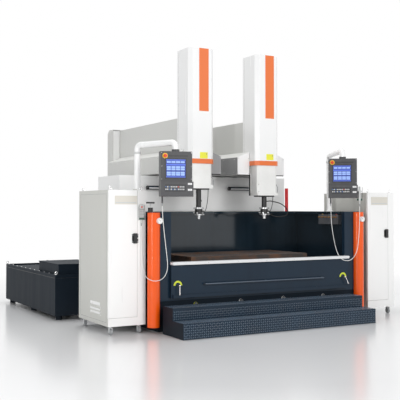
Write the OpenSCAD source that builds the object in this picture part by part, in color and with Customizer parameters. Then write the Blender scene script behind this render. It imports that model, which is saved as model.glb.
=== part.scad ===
/* [Tank] */
// Outer width of the dielectric tank
tank_width = 3400; // [3300:10:3500]
// Tank front plane in front of the table's centre line
front_reach = 800; // [780:5:860]
// Tank depth from its front plane to its outer rear face
tank_depth = 1560; // [1540:5:1580]
// Height of the tank rim above the floor
tank_top = 1548; // [1500:1:1580]
// Height of the tank floor's top face
tank_floor = 420; // [400:1:430]
// Wall of the tank's sheet sides
tank_wall = 12; // [8:0.5:20]
// Width and height of the folded rim
rim_width = 60; // [50:1:70]
rim_height = 40; // [30:1:60]
// Width and depth of the two front posts
post_width = 270; // [255:1:280]
post_depth = 60; // [40:1:80]

/* [Front door] */
// Width of the drop-down door over the posts
door_width = 2900; // [2880:2:2960]
// Thickness of the door slab
door_thick = 50; // [40:1:55]
// Lower and upper edges of the door
door_low = 438; // [434:1:445]
door_high = 904; // [880:1:940]
// Ledge along the foot of the door
lip_height = 45; // [30:1:60]
lip_reach = 22; // [12:1:26]
// Top rail of the door
rail_height = 38; // [30:1:46]
rail_reach = 40; // [30:1:46]
// Grab bar span, diameter and standoff
grab_span = 1990; // [1800:10:2100]
grab_bar_d = 22; // [16:1:28]
grab_reach = 46; // [40:1:52]
grab_height = 616; // [590:1:640]

/* [Latches and drains] */
// Half the distance between the two lever latches
latch_x = 1355; // [1300:1:1370]
// Height of the latch spindles
latch_z = 600; // [580:1:640]
// Latch spindle, hub and lever
spindle_d = 18; // [12:1:22]
spindle_reach = 56; // [50:1:58]
latch_hub_d = 30; // [24:1:32]
lever_d = 15; // [10:1:18]
lever_length = 118; // [90:1:130]
// Lean of the right lever from straight down
right_lever_lean = 30; // [0:1:45]
// Drain plugs along the base
plug_pitch = 702; // [650:1:720]
plug_count = 4; // [2:1:4]
plug_z = 345; // [330:1:350]
plug_d = 44; // [30:1:56]

/* [Corner columns] */
// Radius, height span and centre of the half-round corner columns
corner_radius = 85; // [70:1:90]
corner_low = 81; // [40:1:100]
corner_high = 1542; // [1500:1:1546]
corner_x = 1682; // [1670:1:1690]
// Pressure gauges near the column tops
gauge_d = 78; // [60:1:90]
gauge_thick = 26; // [20:1:34]
gauge_z = 1438; // [1400:1:1460]

/* [Base and body] */
// Width and height of the cast base
base_width = 3280; // [3200:10:3360]
base_height = 400; // [380:1:405]
plinth_height = 100; // [60:1:140]
plinth_inset = 60; // [30:1:100]
base_wall = 35; // [20:1:60]
// Width, depth and top of the rear machine body
body_width = 2945; // [2900:5:3000]
body_depth = 839; // [830:1:860]
body_top = 2087; // [2070:1:2100]
body_wall = 30; // [20:1:40]
// Gap between the tank's rear face and the body
body_gap = 28; // [10:1:40]
// Grooves for the long rails
groove_width = 150; // [140:1:170]
groove_depth = 70; // [60:1:80]
rail_w = 45; // [35:1:55]
rail_h = 38; // [30:1:42]
screw_d = 40; // [32:1:50]

/* [Table] */
table_length = 1940; // [1800:10:2000]
table_width = 1000; // [900:10:1050]
table_top = 938; // [920:1:960]
table_thick = 90; // [80:1:120]
slot_count = 5; // [3:1:6]
slot_width = 18; // [14:1:22]
slot_depth = 32; // [24:1:40]

/* [Steps] */
step_width = 3035; // [2900:5:3060]
step_shift = -77; // [-90:1:-60]
step_run = 280; // [260:1:290]
step_low = 197; // [190:1:205]
step_high = 354; // [340:1:356]
step_gap = 45; // [40:1:60]
step_plate = 5; // [4:0.5:8]

/* [Heads] */
// Half the distance between the two heads
head_x = 565.5; // [560:0.5:575]
// Width, depth and span of a head's column cover
head_width = 413; // [400:1:416]
head_depth = 381; // [370:1:390]
head_front = 714; // [710:1:720]
head_low = 2238; // [2234:1:2242]
head_high = 3897; // [3800:1:3950]
head_chamfer = 54; // [40:1:60]
head_wall = 8; // [6:1:12]
// Band round the foot of the cover
band_height = 68; // [50:1:80]
band_proud = 3; // [2:0.5:3]
// Ram behind the column cover
ram_width = 412; // [406:1:412]
ram_back = 3207; // [3150:1:3215]
ram_high = 2911; // [2880:1:2950]
ram_wall = 16; // [12:1:24]
// Saddle cheeks beside the ram
cheek_width = 211; // [190:1:212]
saddle_front = 903; // [895:1:910]
saddle_low = 2103; // [2100:1:2110]
cheek_side_high = 2360; // [2330:1:2380]
cheek_high = 2448; // [2420:1:2470]
saddle_floor = 40; // [30:1:44]
saddle_wall = 12; // [8:1:18]
channel_gap = 4; // [3.5:0.5:6]
// Tail housing behind the ram
tail_depth = 227; // [220:1:260]
tail_side = 130; // [110:1:140]
tail_chamfer = 60; // [30:1:80]

/* [Quills] */
quill_width = 350; // [320:1:360]
quill_depth = 190; // [170:1:196]
quill_setback = 16; // [12:1:24]
left_quill_low = 1883; // [1870:1:1900]
right_quill_low = 1788; // [1775:1:1800]
quill_high = 2900; // [2860:1:2940]
quill_chamfer = 28; // [26:1:40]
flange_height = 44; // [30:1:50]
flange_proud = 8; // [4:1:10]
slide_plate_w = 378; // [372:1:384]
slide_plate_t = 34; // [28:1:40]
shaft_d = 75; // [60:1:84]
shaft_foot = 1610; // [1600:1:1625]
chuck_d = 150; // [130:1:160]
chuck_foot = 1443; // [1430:1:1460]

/* [Cabinets] */
cabinet_width = 515; // [500:1:525]
cabinet_depth = 1040; // [1000:5:1080]
cabinet_height = 1720; // [1650:5:1740]
cabinet_wall = 6; // [4:1:10]
caster_height = 111; // [108:1:120]
left_cabinet_edge = -1751; // [-1756:1:-1749]
left_cabinet_y = 87; // [80:1:95]
right_cabinet_x = 1857; // [1855:1:1870]
right_cabinet_y = -16; // [-22:1:-10]
cabinet_door_t = 22; // [16:1:26]
cabinet_plinth = 104; // [80:1:120]
wheel_d = 75; // [70:1:80]
wheel_w = 28; // [24:1:32]

/* [Panels and arms] */
panel_width = 400; // [380:1:410]
panel_height = 560; // [540:1:570]
panel_thick = 112; // [100:1:120]
panel_low = 1743; // [1735:1:1750]
arm_d = 80; // [70:1:84]
arm_wall = 5; // [3:0.5:8]
arm_high = 2417; // [2410:1:2430]
arm_bend = 62; // [58:1:70]
left_post_x = -1812; // [-1820:1:-1808]
left_post_y = 213; // [205:1:220]
left_arm_length = 665; // [650:1:680]
left_arm_turn = -69.2; // [-75:0.1:-60]
left_panel_turn = -14; // [-20:1:-8]
right_post_x = 1670; // [1664:1:1674]
right_post_y = 656; // [650:1:665]
right_arm_length = 1081; // [1060:1:1100]
right_arm_turn = -118.3; // [-120:0.1:-116]
right_panel_turn = -39; // [-45:1:-30]

/* [Oil tank] */
oil_x = -2404; // [-2420:1:-2400]
oil_width = 740; // [700:5:745]
oil_front = 1714; // [1700:1:1730]
oil_length = 2573; // [2500:5:2600]
oil_top = 649; // [640:1:665]
oil_wall = 8; // [6:1:12]
filter_length = 905; // [880:1:930]
filter_top = 796; // [780:1:820]

/* [Hidden] */
$fn = 48;

// Shared clearances, overruns and small sizes
overrun = 2;
face_gap = 0.3;
running_gap = 0.05;
left = -1;
right = 1;

// Places that follow from the driving sizes
door_plane = -front_reach;
tank_half = tank_width / 2;
tank_rear = door_plane + tank_depth;
opening_half = tank_half - post_width;
body_front = tank_rear + body_gap;
body_half = body_width / 2;
body_rear = body_front + body_depth;
base_half = base_width / 2;
base_front = door_plane + post_depth / 3;
base_rear = body_rear;
door_front = door_plane - door_thick;
door_half = door_width / 2;
head_y = door_plane + head_front;
head_rear = head_y + head_depth;
ram_end = door_plane + ram_back;
quill_y = head_y + quill_setback;

module block(low, high) {
    translate(low) cube(high - low);
}

module mirrored(side) {
    mirror([side == left ? 1 : 0, 0, 0]) children();
}

module both_sides() {
    for (side = [left, right])
        mirrored(side) children();
}

module rod_y(d, length) {
    rotate([-90, 0, 0]) cylinder(d = d, h = length);
}

module rod_x(d, length) {
    rotate([0, 90, 0]) cylinder(d = d, h = length);
}

// Cast base under tank and body, closed, on an inset plinth
module machine_base() {
    color([0.10, 0.13, 0.17]) difference() {
        union() {
            block([-base_half, base_front, plinth_height], [base_half, base_rear, base_height]);
            block([plinth_inset - base_half, base_front + plinth_inset, 0],
                [base_half - plinth_inset, base_rear - plinth_inset, plinth_height]);
        }
        block([plinth_inset + base_wall - base_half, base_front + plinth_inset + base_wall, base_wall],
            [base_half - plinth_inset - base_wall, base_rear - plinth_inset - base_wall,
             base_height - base_wall]);
        for (i = [0 : plug_count - 1])
            translate([plug_x(i), base_front - overrun, plug_z]) rod_y(plug_d, plug_sink + overrun);
    }
    color([0.15, 0.15, 0.16])
        for (i = [0 : plug_count - 1])
            translate([plug_x(i), base_front - plug_head, plug_z])
                rod_y(plug_d - 2 * running_gap, plug_head + plug_sink);
}
plug_sink = 20;
plug_head = 14;
function plug_x(i) = (i - (plug_count - 1) / 2) * plug_pitch;

// Open-topped tank with a floor, three walls, two front posts and a folded rim
module work_tank() {
    inner_half = tank_half - tank_wall;
    color([0.13, 0.18, 0.24]) difference() {
        union() {
            block([-tank_half, door_plane, base_height], [tank_half, tank_rear, tank_top - rim_height]);
            block([-tank_half, door_plane, tank_top - rim_height - overrun],
                [tank_half, tank_rear, tank_top]);
        }
        block([-inner_half, door_plane + post_depth, tank_floor],
            [inner_half, tank_rear - tank_wall, tank_top - rim_height]);
        block([-tank_half + rim_width, door_plane + post_depth, tank_floor],
            [tank_half - rim_width, tank_rear - rim_width, tank_top + overrun]);
        block([-opening_half, door_plane - overrun, door_low + sill_rise],
            [opening_half, door_plane + post_depth + overrun, tank_top + overrun]);
        translate([-drain_x, drain_y, tank_top - rim_height - overrun])
            cylinder(d = drain_rod_d + 2 * running_gap, h = rim_height + 2 * overrun);
    }
    // Guide of the drain rod and foot flange of the right arm
    color([0.08, 0.08, 0.09]) difference() {
        translate([-drain_x, drain_y, tank_top]) cylinder(d = guide_d, h = guide_height);
        translate([-drain_x, drain_y, tank_top - overrun])
            cylinder(d = drain_rod_d + 2 * running_gap, h = guide_height + 2 * overrun);
    }
    color("white") translate([right_post_x, door_plane + right_post_y, tank_top]) arm_foot();
}
sill_rise = 22;
drain_x = 1672;
drain_inset = 112;
drain_y = door_plane + drain_inset;
guide_d = 64;
guide_height = 58;
drain_rod_d = 16;

// Foot flange with the pin that an arm turns on
module arm_foot() {
    cylinder(d = foot_flange_d, h = foot_flange_t);
    cylinder(d = arm_pin_d, h = foot_flange_t + arm_pin_length);
}
foot_flange_d = 118;
foot_flange_t = 16;
arm_pin_d = 44;
arm_pin_length = 70;

// Table plate with slots along its length, on a hollow pedestal
module work_table() {
    half = table_length / 2;
    reach = table_width / 2;
    pitch = table_width / slot_count;
    color([0.45, 0.36, 0.30]) difference() {
        block([-half, -reach, table_top - table_thick], [half, reach, table_top]);
        for (i = [0 : slot_count - 1]) {
            y = (i + 0.5) * pitch - reach;
            block([-half - overrun, y - slot_width / 2, table_top - slot_depth],
                [half + overrun, y + slot_width / 2, table_top + overrun]);
            block([-half - overrun, y - slot_width, table_top - slot_depth],
                [half + overrun, y + slot_width, table_top - slot_depth / 2]);
        }
    }
    color([0.13, 0.18, 0.24]) difference() {
        block([pedestal_inset - half, pedestal_inset - reach, tank_floor],
            [half - pedestal_inset, reach - pedestal_inset, table_top - table_thick]);
        block([pedestal_inset + pedestal_wall - half, pedestal_inset + pedestal_wall - reach,
               tank_floor + pedestal_wall],
            [half - pedestal_inset - pedestal_wall, reach - pedestal_inset - pedestal_wall,
             table_top - table_thick - pedestal_wall]);
    }
}
pedestal_inset = 60;
pedestal_wall = 30;

// Rear body with two rail grooves and a screw groove along its top
rail_y_share = [0.2, 0.8];
screw_y_share = 0.5;
function body_y(share) = body_front + share * body_depth;

module machine_body() {
    color([0.86, 0.86, 0.84]) difference() {
        block([-body_half, body_front, base_height], [body_half, body_rear, body_top]);
        block([body_wall - body_half, body_front + body_wall, base_height + body_wall],
            [body_half - body_wall, body_rear - body_wall, body_top - groove_depth - body_wall]);
        for (share = [rail_y_share[0], screw_y_share, rail_y_share[1]])
            block([groove_end - body_half, body_y(share) - groove_width / 2, body_top - groove_depth],
                [body_half - groove_end, body_y(share) + groove_width / 2, body_top + overrun]);
    }
}
groove_end = 40;

module x_rails() {
    reach = body_half - groove_end - rail_end_gap;
    color([0.6, 0.6, 0.62])
        for (share = rail_y_share)
            block([-reach, body_y(share) - rail_w / 2, body_top - groove_depth],
                [reach, body_y(share) + rail_w / 2, body_top - groove_depth + rail_h]);
}
rail_end_gap = 20;

// Long fixed screw on two end blocks
module x_screw() {
    reach = body_half - groove_end;
    color([0.65, 0.65, 0.67]) {
        translate([-reach, body_y(screw_y_share), screw_z]) rod_x(screw_d, 2 * reach);
        both_sides() difference() {
            block([reach - end_block_t, body_y(screw_y_share) - end_block_w / 2, body_top - groove_depth],
                [reach, body_y(screw_y_share) + end_block_w / 2, body_top - end_block_drop]);
            translate([reach - end_block_t - overrun, body_y(screw_y_share), screw_z])
                rod_x(screw_d, end_block_t + 2 * overrun);
        }
    }
}
screw_z = body_top - groove_depth / 2;
end_block_t = 36;
end_block_w = 110;
end_block_drop = 4;

// Two closed treads of folded chequer plate
module entry_steps() {
    x0 = step_shift - step_width / 2;
    x1 = step_shift + step_width / 2;
    back = door_front - step_gap;
    front_high = back - step_run;
    front_low = front_high - step_run;
    color([0.18, 0.24, 0.31]) difference() {
        union() {
            block([x0, front_high, 0], [x1, back, step_high]);
            block([x0, front_low, 0], [x1, front_high + overrun, step_low]);
        }
        block([x0 + step_plate, front_low + step_plate, -overrun],
            [x1 - step_plate, back - step_plate, step_low - step_plate]);
        block([x0 + step_plate, front_high + step_plate, -overrun],
            [x1 - step_plate, back - step_plate, step_high - step_plate]);
    }
}

// Half-round columns on the tank's front corners
module corner_columns() {
    color([0.95, 0.36, 0.10])
        both_sides() translate([corner_x, door_plane, corner_low]) difference() {
            cylinder(r = corner_radius, h = corner_high - corner_low);
            translate([0, 0, corner_wall])
                cylinder(r = corner_radius - corner_wall, h = corner_high - corner_low - 2 * corner_wall);
            block([-corner_radius - overrun, 0, -overrun],
                [corner_radius + overrun, corner_radius + overrun, corner_high]);
        }
}
corner_wall = 5;

module tank_gauges() {
    color("white") difference() {
        for (x = [gauge_left_shift - corner_x, corner_x])
            translate([x, door_plane - corner_radius - gauge_thick, gauge_z]) {
                rod_y(gauge_d, gauge_thick);
                rod_y(gauge_neck_d, gauge_thick + gauge_neck);
            }
        both_sides() translate([corner_x, door_plane, corner_low])
            cylinder(r = corner_radius, h = corner_high - corner_low);
    }
}
gauge_left_shift = 40;
gauge_neck_d = 24;
gauge_neck = 20;

// Flushing block on the right inner wall, with its row of nipples
manifold_inset = 394;
manifold_front = door_plane + manifold_inset;
manifold_length = 480;
manifold_depth = 62;
manifold_low = 1352;
manifold_high = 1500;
nipple_count = 6;
nipple_d = 20;
nipple_reach = 34;

module flushing_manifold() {
    x1 = tank_half - tank_wall;
    pitch = manifold_length / nipple_count;
    color([0.45, 0.46, 0.48])
        block([x1 - manifold_depth, manifold_front, manifold_low],
            [x1, manifold_front + manifold_length, manifold_high]);
    color([0.8, 0.45, 0.2])
        for (i = [0 : nipple_count - 1])
            translate([x1 - manifold_depth - nipple_reach, manifold_front + (i + 0.5) * pitch,
                manifold_high - pitch / 2]) rod_x(nipple_d, nipple_reach);
}

// Capped return pipe behind the tank's rear wall
standpipe_x = 1541;
standpipe_y = tank_rear + 60;
standpipe_d = 56;
standpipe_top = 1925;
standpipe_foot_d = 110;
standpipe_foot_t = 14;

module oil_standpipe() {
    color([0.85, 0.05, 0.08]) translate([standpipe_x, standpipe_y, base_height]) {
        cylinder(d = standpipe_d, h = standpipe_top - base_height);
        cylinder(d = standpipe_foot_d, h = standpipe_foot_t);
    }
}

// Tube lamps on brackets on the body's front face
lamp_x = 710;
lamp_length = 700;
lamp_z = 1905;
lamp_d = 52;
lamp_cap = 26;
lamp_cap_d = 60;
lamp_reach = 62;

module work_lamps() {
    both_sides() translate([lamp_x - lamp_length / 2, body_front - lamp_reach, lamp_z]) {
        color("white") rod_x(lamp_d, lamp_length);
        color([0.05, 0.05, 0.05]) {
            rod_x(lamp_cap_d, lamp_cap);
            translate([lamp_length - lamp_cap, 0, 0]) rod_x(lamp_cap_d, lamp_cap);
            for (share = [0.25, 0.75])
                block([share * lamp_length - lamp_cap / 2, 0, -lamp_cap / 2],
                    [share * lamp_length + lamp_cap / 2, lamp_reach, lamp_cap / 2]);
        }
    }
}

// Oil tank with a recessed deck and a raised filter box
oil_low = 60;
deck_drop = 24;
deck_rim = 40;
oil_foot = 90;
foot_share = [0.04, 0.5, 0.96];
filter_inset = 64;
filter_lid_t = 12;

module oil_tank() {
    x1 = oil_x + oil_width;
    y0 = door_plane + oil_front;
    y1 = y0 + oil_length;
    color([0.10, 0.13, 0.17]) {
        difference() {
            block([oil_x, y0, oil_low], [x1, y1, oil_top]);
            block([oil_x + oil_wall, y0 + oil_wall, oil_low + oil_wall],
                [x1 - oil_wall, y1 - oil_wall, oil_top - deck_drop - oil_wall]);
            block([oil_x + deck_rim, y0 + deck_rim, oil_top - deck_drop],
                [x1 - deck_rim, y1 - deck_rim, oil_top + overrun]);
        }
        for (share = foot_share, x = [oil_x + oil_foot, x1 - oil_foot])
            translate([x, y0 + share * oil_length, 0]) cylinder(d = oil_foot, h = oil_low);
    }
}

module filter_box() {
    y0 = door_plane + oil_front + deck_rim;
    color([0.10, 0.13, 0.17]) {
        difference() {
            block([oil_x + filter_inset, y0, oil_top - deck_drop],
                [oil_x + oil_width - filter_inset, y0 + filter_length, filter_top - filter_lid_t]);
            block([oil_x + filter_inset + oil_wall, y0 + oil_wall, oil_top - deck_drop + oil_wall],
                [oil_x + oil_width - filter_inset - oil_wall, y0 + filter_length - oil_wall,
                 filter_top - filter_lid_t - oil_wall]);
        }
        block([oil_x + filter_inset - oil_wall, y0 - oil_wall, filter_top - filter_lid_t],
            [oil_x + oil_width - filter_inset + oil_wall, y0 + filter_length + oil_wall, filter_top]);
    }
}

// Ring bolts on the corners of the cabinets and of the oil tank's rim
eye_ring_r = 17;
eye_wire_r = 5;
eye_foot_r = 13;
eye_foot_t = 8;
eye_inset = 42;

module lifting_eye() {
    cylinder(r = eye_foot_r, h = eye_foot_t);
    translate([0, 0, eye_foot_t + eye_ring_r + eye_wire_r / 2]) rotate([90, 0, 0])
        rotate_extrude() translate([eye_ring_r, 0]) circle(r = eye_wire_r, $fn = 24);
}

module lifting_eyes() {
    color([0.75, 0.75, 0.76]) {
        for (side = [left, right], x = [eye_inset, cabinet_width - eye_inset],
             y = [eye_inset, cabinet_depth - eye_inset])
            translate([cabinet_x(side) + x, cabinet_y(side) + y, cabinet_top]) lifting_eye();
        for (x = [oil_x + deck_rim / 2, oil_x + oil_width - deck_rim / 2],
             y = [door_plane + oil_front + deck_rim / 2, door_plane + oil_front + oil_length - deck_rim / 2])
            translate([x, y, oil_top]) lifting_eye();
    }
}

// Control cabinets: open-fronted cases on casters
cabinet_top = caster_height + cabinet_height;
function cabinet_x(side) = side == left ? left_cabinet_edge - cabinet_width : right_cabinet_x;
function cabinet_y(side) = door_plane + (side == left ? left_cabinet_y : right_cabinet_y);
louvre_count = 3;
louvre_pitch = 42;
louvre_low = 235;
louvre_start = 235;
louvre_length = 350;
louvre_proud = 9;
shelf_share = [0.3, 0.6];
shelf_inset = 30;

module cabinet(side) {
    x = cabinet_x(side);
    y = cabinet_y(side);
    x1 = x + cabinet_width;
    y1 = y + cabinet_depth;
    wall = cabinet_wall;
    color("white") {
        difference() {
            block([x, y, caster_height], [x1, y1, cabinet_top]);
            block([x + wall, y + wall, caster_height + wall], [x1 - wall, y1 - wall, cabinet_top - wall]);
            block([x - overrun, y - overrun, caster_height + cabinet_plinth],
                [x1 - frame_strip, y + cabinet_door_t + face_gap, cabinet_top + overrun]);
            block([x + wall, y - overrun, caster_height + cabinet_plinth + wall],
                [x1 - frame_strip - wall, y1 - wall, cabinet_top - 2 * wall]);
        }
        for (i = [0 : louvre_count - 1])
            translate([x, y + louvre_start, louvre_low + i * louvre_pitch]) difference() {
                rod_y(2 * louvre_proud, louvre_length);
                block([0, -overrun, -2 * louvre_proud], [2 * louvre_proud, louvre_length + overrun,
                    2 * louvre_proud]);
            }
        for (share = shelf_share)
            block([x + wall, y + shelf_inset + cabinet_door_t, caster_height + share * cabinet_height],
                [x1 - wall, y1 - wall, caster_height + share * cabinet_height + wall]);
    }
}

module cabinet_left() {
    cabinet(left);
    color("white") translate([left_post_x, door_plane + left_post_y, cabinet_top]) arm_foot();
}

module cabinet_right() {
    cabinet(right);
}

module cabinet_door(side) {
    x = cabinet_x(side) + door_edge;
    y = cabinet_y(side);
    z = caster_height + cabinet_plinth + door_edge;
    x1 = cabinet_x(side) + cabinet_width - frame_strip - door_edge;
    z1 = cabinet_top - door_edge;
    color([0.97, 0.97, 0.96]) difference() {
        union() {
            block([x, y, z], [x1, y + cabinet_door_t, z1]);
            for (share = barrel_shares)
                translate([x, y, z + share * (z1 - z)])
                    cylinder(d = barrel_d, h = barrel_length, center = true);
        }
        block([x + door_sheet, y + door_sheet, z + door_sheet],
            [x1 - door_sheet, y + cabinet_door_t - door_sheet, z1 - door_sheet]);
        translate([handle_x(side), y - overrun, handle_z])
            rod_y(handle_pin_d + 2 * running_gap, cabinet_door_t + 2 * overrun);
    }
}
door_edge = 3;
door_sheet = 2.5;
barrel_d = 12;
barrel_length = 70;
barrel_shares = [0.1, 0.5, 0.9];
frame_strip = 115;
handle_drop = 616;
handle_z = cabinet_top - handle_drop;
handle_pin_d = 16;
handle_grip_w = 46;
handle_grip_h = 130;
handle_grip_t = 20;
handle_inset = 148;
function handle_x(side) = cabinet_x(side) + cabinet_width - handle_inset;

module door_handle(side) {
    x = handle_x(side);
    y = cabinet_y(side);
    color([0.06, 0.06, 0.07]) {
        block([x - handle_grip_w / 2, y - handle_grip_t - face_gap, handle_z - handle_grip_h / 2],
            [x + handle_grip_w / 2, y - face_gap, handle_z + handle_grip_h / 2]);
        translate([x, y - face_gap, handle_z]) rod_y(handle_pin_d, cabinet_door_t + 2 * face_gap);
        block([x - handle_pin_d / 2, y + cabinet_door_t + face_gap, handle_z - cam_reach],
            [x + handle_pin_d / 2, y + cabinet_door_t + face_gap + cam_t, handle_z + handle_pin_d]);
    }
}
cam_reach = 40;
cam_t = 5;

// Casters: forked frames, and the wheels of one axle line together
caster_inset_x = 62;
caster_inset_y = 75;
fork_t = 5;
fork_w = 44;
axle_d = 10;
caster_plate = 90;
caster_plate_t = 6;
caster_neck_d = 40;
caster_neck = 14;

module caster_frame() {
    fork_top = caster_height - caster_plate_t - caster_neck;
    translate([0, 0, caster_height - caster_plate_t / 2]) cube([caster_plate, caster_plate, caster_plate_t],
        center = true);
    translate([0, 0, fork_top - fork_t / 2]) cylinder(d = caster_neck_d, h = caster_neck + fork_t / 2);
    difference() {
        block([-fork_w / 2, -caster_neck_d / 2, wheel_d / 2 - axle_d],
            [fork_w / 2, caster_neck_d / 2, fork_top]);
        block([fork_t - fork_w / 2, -caster_neck_d, -overrun],
            [fork_w / 2 - fork_t, caster_neck_d, fork_top - fork_t]);
    }
    translate([-fork_w / 2, 0, wheel_d / 2]) rod_x(axle_d, fork_w);
}

module caster_frames() {
    color([0.7, 0.7, 0.72])
        for (side = [left, right], x = [caster_inset_x, cabinet_width - caster_inset_x],
             y = [caster_inset_y, cabinet_depth - caster_inset_y])
            translate([cabinet_x(side) + x, cabinet_y(side) + y, 0]) caster_frame();
}

module axle_wheels(side, y) {
    color([0.12, 0.12, 0.13])
        for (x = [caster_inset_x, cabinet_width - caster_inset_x])
            translate([cabinet_x(side) + x - wheel_w / 2, cabinet_y(side) + y, wheel_d / 2]) difference() {
                rod_x(wheel_d, wheel_w);
                translate([-overrun, 0, 0]) rod_x(axle_d + 2 * running_gap, wheel_w + 2 * overrun);
            }
}

module left_front_wheels() { axle_wheels(left, caster_inset_y); }
module left_rear_wheels() { axle_wheels(left, cabinet_depth - caster_inset_y); }
module right_front_wheels() { axle_wheels(right, caster_inset_y); }
module right_rear_wheels() { axle_wheels(right, cabinet_depth - caster_inset_y); }
module cabinet_door_left() { cabinet_door(left); }
module cabinet_door_right() { cabinet_door(right); }
module door_handle_left() { door_handle(left); }
module door_handle_right() { door_handle(right); }

// Drop-down door with a ledge along its foot
module tank_door() {
    color([0.15, 0.21, 0.28]) difference() {
        union() {
            block([-door_half, door_front, door_low],
                [door_half, door_plane - face_gap, door_high - rail_height]);
            block([lip_inset - door_half, door_front - lip_reach, door_low],
                [door_half - lip_inset, door_front + overrun, door_low + lip_height]);
            for (share = barrel_shares)
                translate([(share - barrel_shares[1]) * door_width - foot_barrel_length / 2, door_front,
                           door_low])
                    rod_x(foot_barrel_d, foot_barrel_length);
        }
        block([door_skin - door_half, door_front + door_skin, door_low + door_skin],
            [door_half - door_skin, door_plane - face_gap - door_skin,
             door_high - rail_height - door_skin]);
        both_sides() translate([latch_x, door_front - overrun, latch_z])
            rod_y(spindle_d + 2 * running_gap, door_thick + 2 * overrun);
    }
}
lip_inset = 20;
door_skin = 6;
foot_barrel_d = 18;
foot_barrel_length = 120;

module door_top_rail() {
    color([0.9, 0.9, 0.9]) {
        difference() {
            block([rail_side_gap - door_half, door_front - rail_reach, door_high - rail_height],
                [door_half - rail_side_gap, door_plane - face_gap, door_high]);
            block([rail_side_gap + rail_skin - door_half, door_front - rail_reach + rail_skin,
                   door_high - rail_height + rail_skin],
                [door_half - rail_side_gap - rail_skin, door_plane - face_gap - rail_skin,
                 door_high - rail_skin]);
        }
        both_sides() translate([door_half - rail_side_gap, door_front - rail_reach / 2,
            door_high - rail_height / 2]) rod_x(bracket_d, bracket_reach);
    }
}
rail_side_gap = 10;
rail_skin = 3;
bracket_d = 16;
bracket_reach = 26;

// Bar with bent ends on three bosses
module grab_bar() {
    half = grab_span / 2;
    y = door_front - grab_reach;
    color([0.3, 0.34, 0.4]) {
        translate([grab_end - half, y, grab_height - grab_drop]) rod_x(grab_bar_d, grab_span - 2 * grab_end);
        both_sides() {
            translate([half - grab_end, y, grab_height - grab_drop]) sphere(d = grab_bar_d, $fn = 24);
            translate([half - grab_end, y, grab_height - grab_drop]) rod_y(grab_bar_d, grab_reach);
        }
        translate([0, y, grab_height - grab_drop]) rod_y(grab_bar_d, grab_reach);
    }
}
grab_end = 30;
grab_drop = 10;

// Lever latch: spindle through the door, hub and lever, cam inside
module latch(lean) {
    rod_y(spindle_d, spindle_reach + door_thick);
    sphere(d = latch_hub_d, $fn = 32);
    rotate([0, 180 - lean, 0]) cylinder(d = lever_d, h = lever_length);
}

module latch_left() {
    color([0.85, 0.86, 0.88]) translate([-latch_x, door_front - spindle_reach, latch_z]) latch(0);
}

module latch_right() {
    color([0.85, 0.86, 0.88]) translate([latch_x, door_front - spindle_reach, latch_z])
        latch(right_lever_lean);
}

// T-handle of the drain gate
drain_bar_d = 22;
drain_bar_length = 150;
drain_rise = 122;
drain_sink = 40;
drain_bar_turn = 25;

module drain_handle() {
    color([0.05, 0.05, 0.05]) translate([-drain_x, drain_y, tank_top]) {
        translate([0, 0, -drain_sink]) cylinder(d = drain_rod_d, h = drain_rise + drain_sink);
        translate([0, 0, drain_rise]) rotate([0, 0, drain_bar_turn])
            translate([-drain_bar_length / 2, 0, 0]) rod_x(drain_bar_d, drain_bar_length);
    }
}

// Swinging arm: post, elbow, level tube, elbow and drop, turned about its post
collar_height = 26;
collar_d = 96;
hinge_pin_d = 36;
hinge_pin_length = 60;

module arm_path(r, length, foot_z, drop_z) {
    translate([0, 0, foot_z]) cylinder(r = r, h = arm_high - arm_bend - foot_z);
    translate([arm_bend, 0, arm_high - arm_bend]) rotate([90, 0, 0]) rotate([0, 0, 90])
        rotate_extrude(angle = 90) translate([arm_bend, 0]) circle(r = r);
    translate([arm_bend, 0, arm_high]) rod_x(2 * r, length - 2 * arm_bend);
    translate([length - arm_bend, 0, arm_high - arm_bend]) rotate([90, 0, 0])
        rotate_extrude(angle = 90) translate([arm_bend, 0]) circle(r = r);
    translate([length, 0, drop_z]) cylinder(r = r, h = arm_high - arm_bend - drop_z);
}

module arm(length, post_z) {
    foot = post_z + foot_flange_t + face_gap;
    drop = panel_low + panel_height + collar_height + face_gap;
    difference() {
        union() {
            arm_path(arm_d / 2, length, foot, drop);
            translate([length, 0, drop - hinge_pin_length]) cylinder(d = hinge_pin_d, h = hinge_pin_length);
        }
        arm_path(arm_d / 2 - arm_wall, length, foot + arm_pin_length + arm_wall, drop + arm_wall);
        translate([0, 0, foot - overrun]) cylinder(d = arm_pin_d + 2 * running_gap,
            h = arm_pin_length + overrun);
    }
}

module arm_left() {
    color("white") translate([left_post_x, door_plane + left_post_y, 0]) rotate([0, 0, left_arm_turn])
        arm(left_arm_length, cabinet_top);
}

module arm_right() {
    color("white") translate([right_post_x, door_plane + right_post_y, 0]) rotate([0, 0, right_arm_turn])
        arm(right_arm_length, tank_top);
}

// Control panels, modelled facing -Y with the pivot axis on the Z axis
screen_w = 250;
screen_h = 226;
screen_z_share = 0.42;
screen_shift = -8;
screen_t = 6;
keypad_share = 0.33;
keypad_side = 10;
keypad_proud = 26;
stop_x_share = -0.36;
stop_z_share = 0.9;
stop_hole_d = 22;
stop_head_d = 40;
stop_reach = 26;
stop_travel = 6;
gland_d = 22;
gland_drop = 80;
gland_x_share = -0.42;

module left_panel_place() {
    translate([left_post_x + left_arm_length * cos(left_arm_turn),
               door_plane + left_post_y + left_arm_length * sin(left_arm_turn), panel_low])
        rotate([0, 0, left_panel_turn]) children();
}

module right_panel_place() {
    translate([right_post_x + right_arm_length * cos(right_arm_turn),
               door_plane + right_post_y + right_arm_length * sin(right_arm_turn), panel_low])
        rotate([0, 0, right_panel_turn]) children();
}

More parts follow.
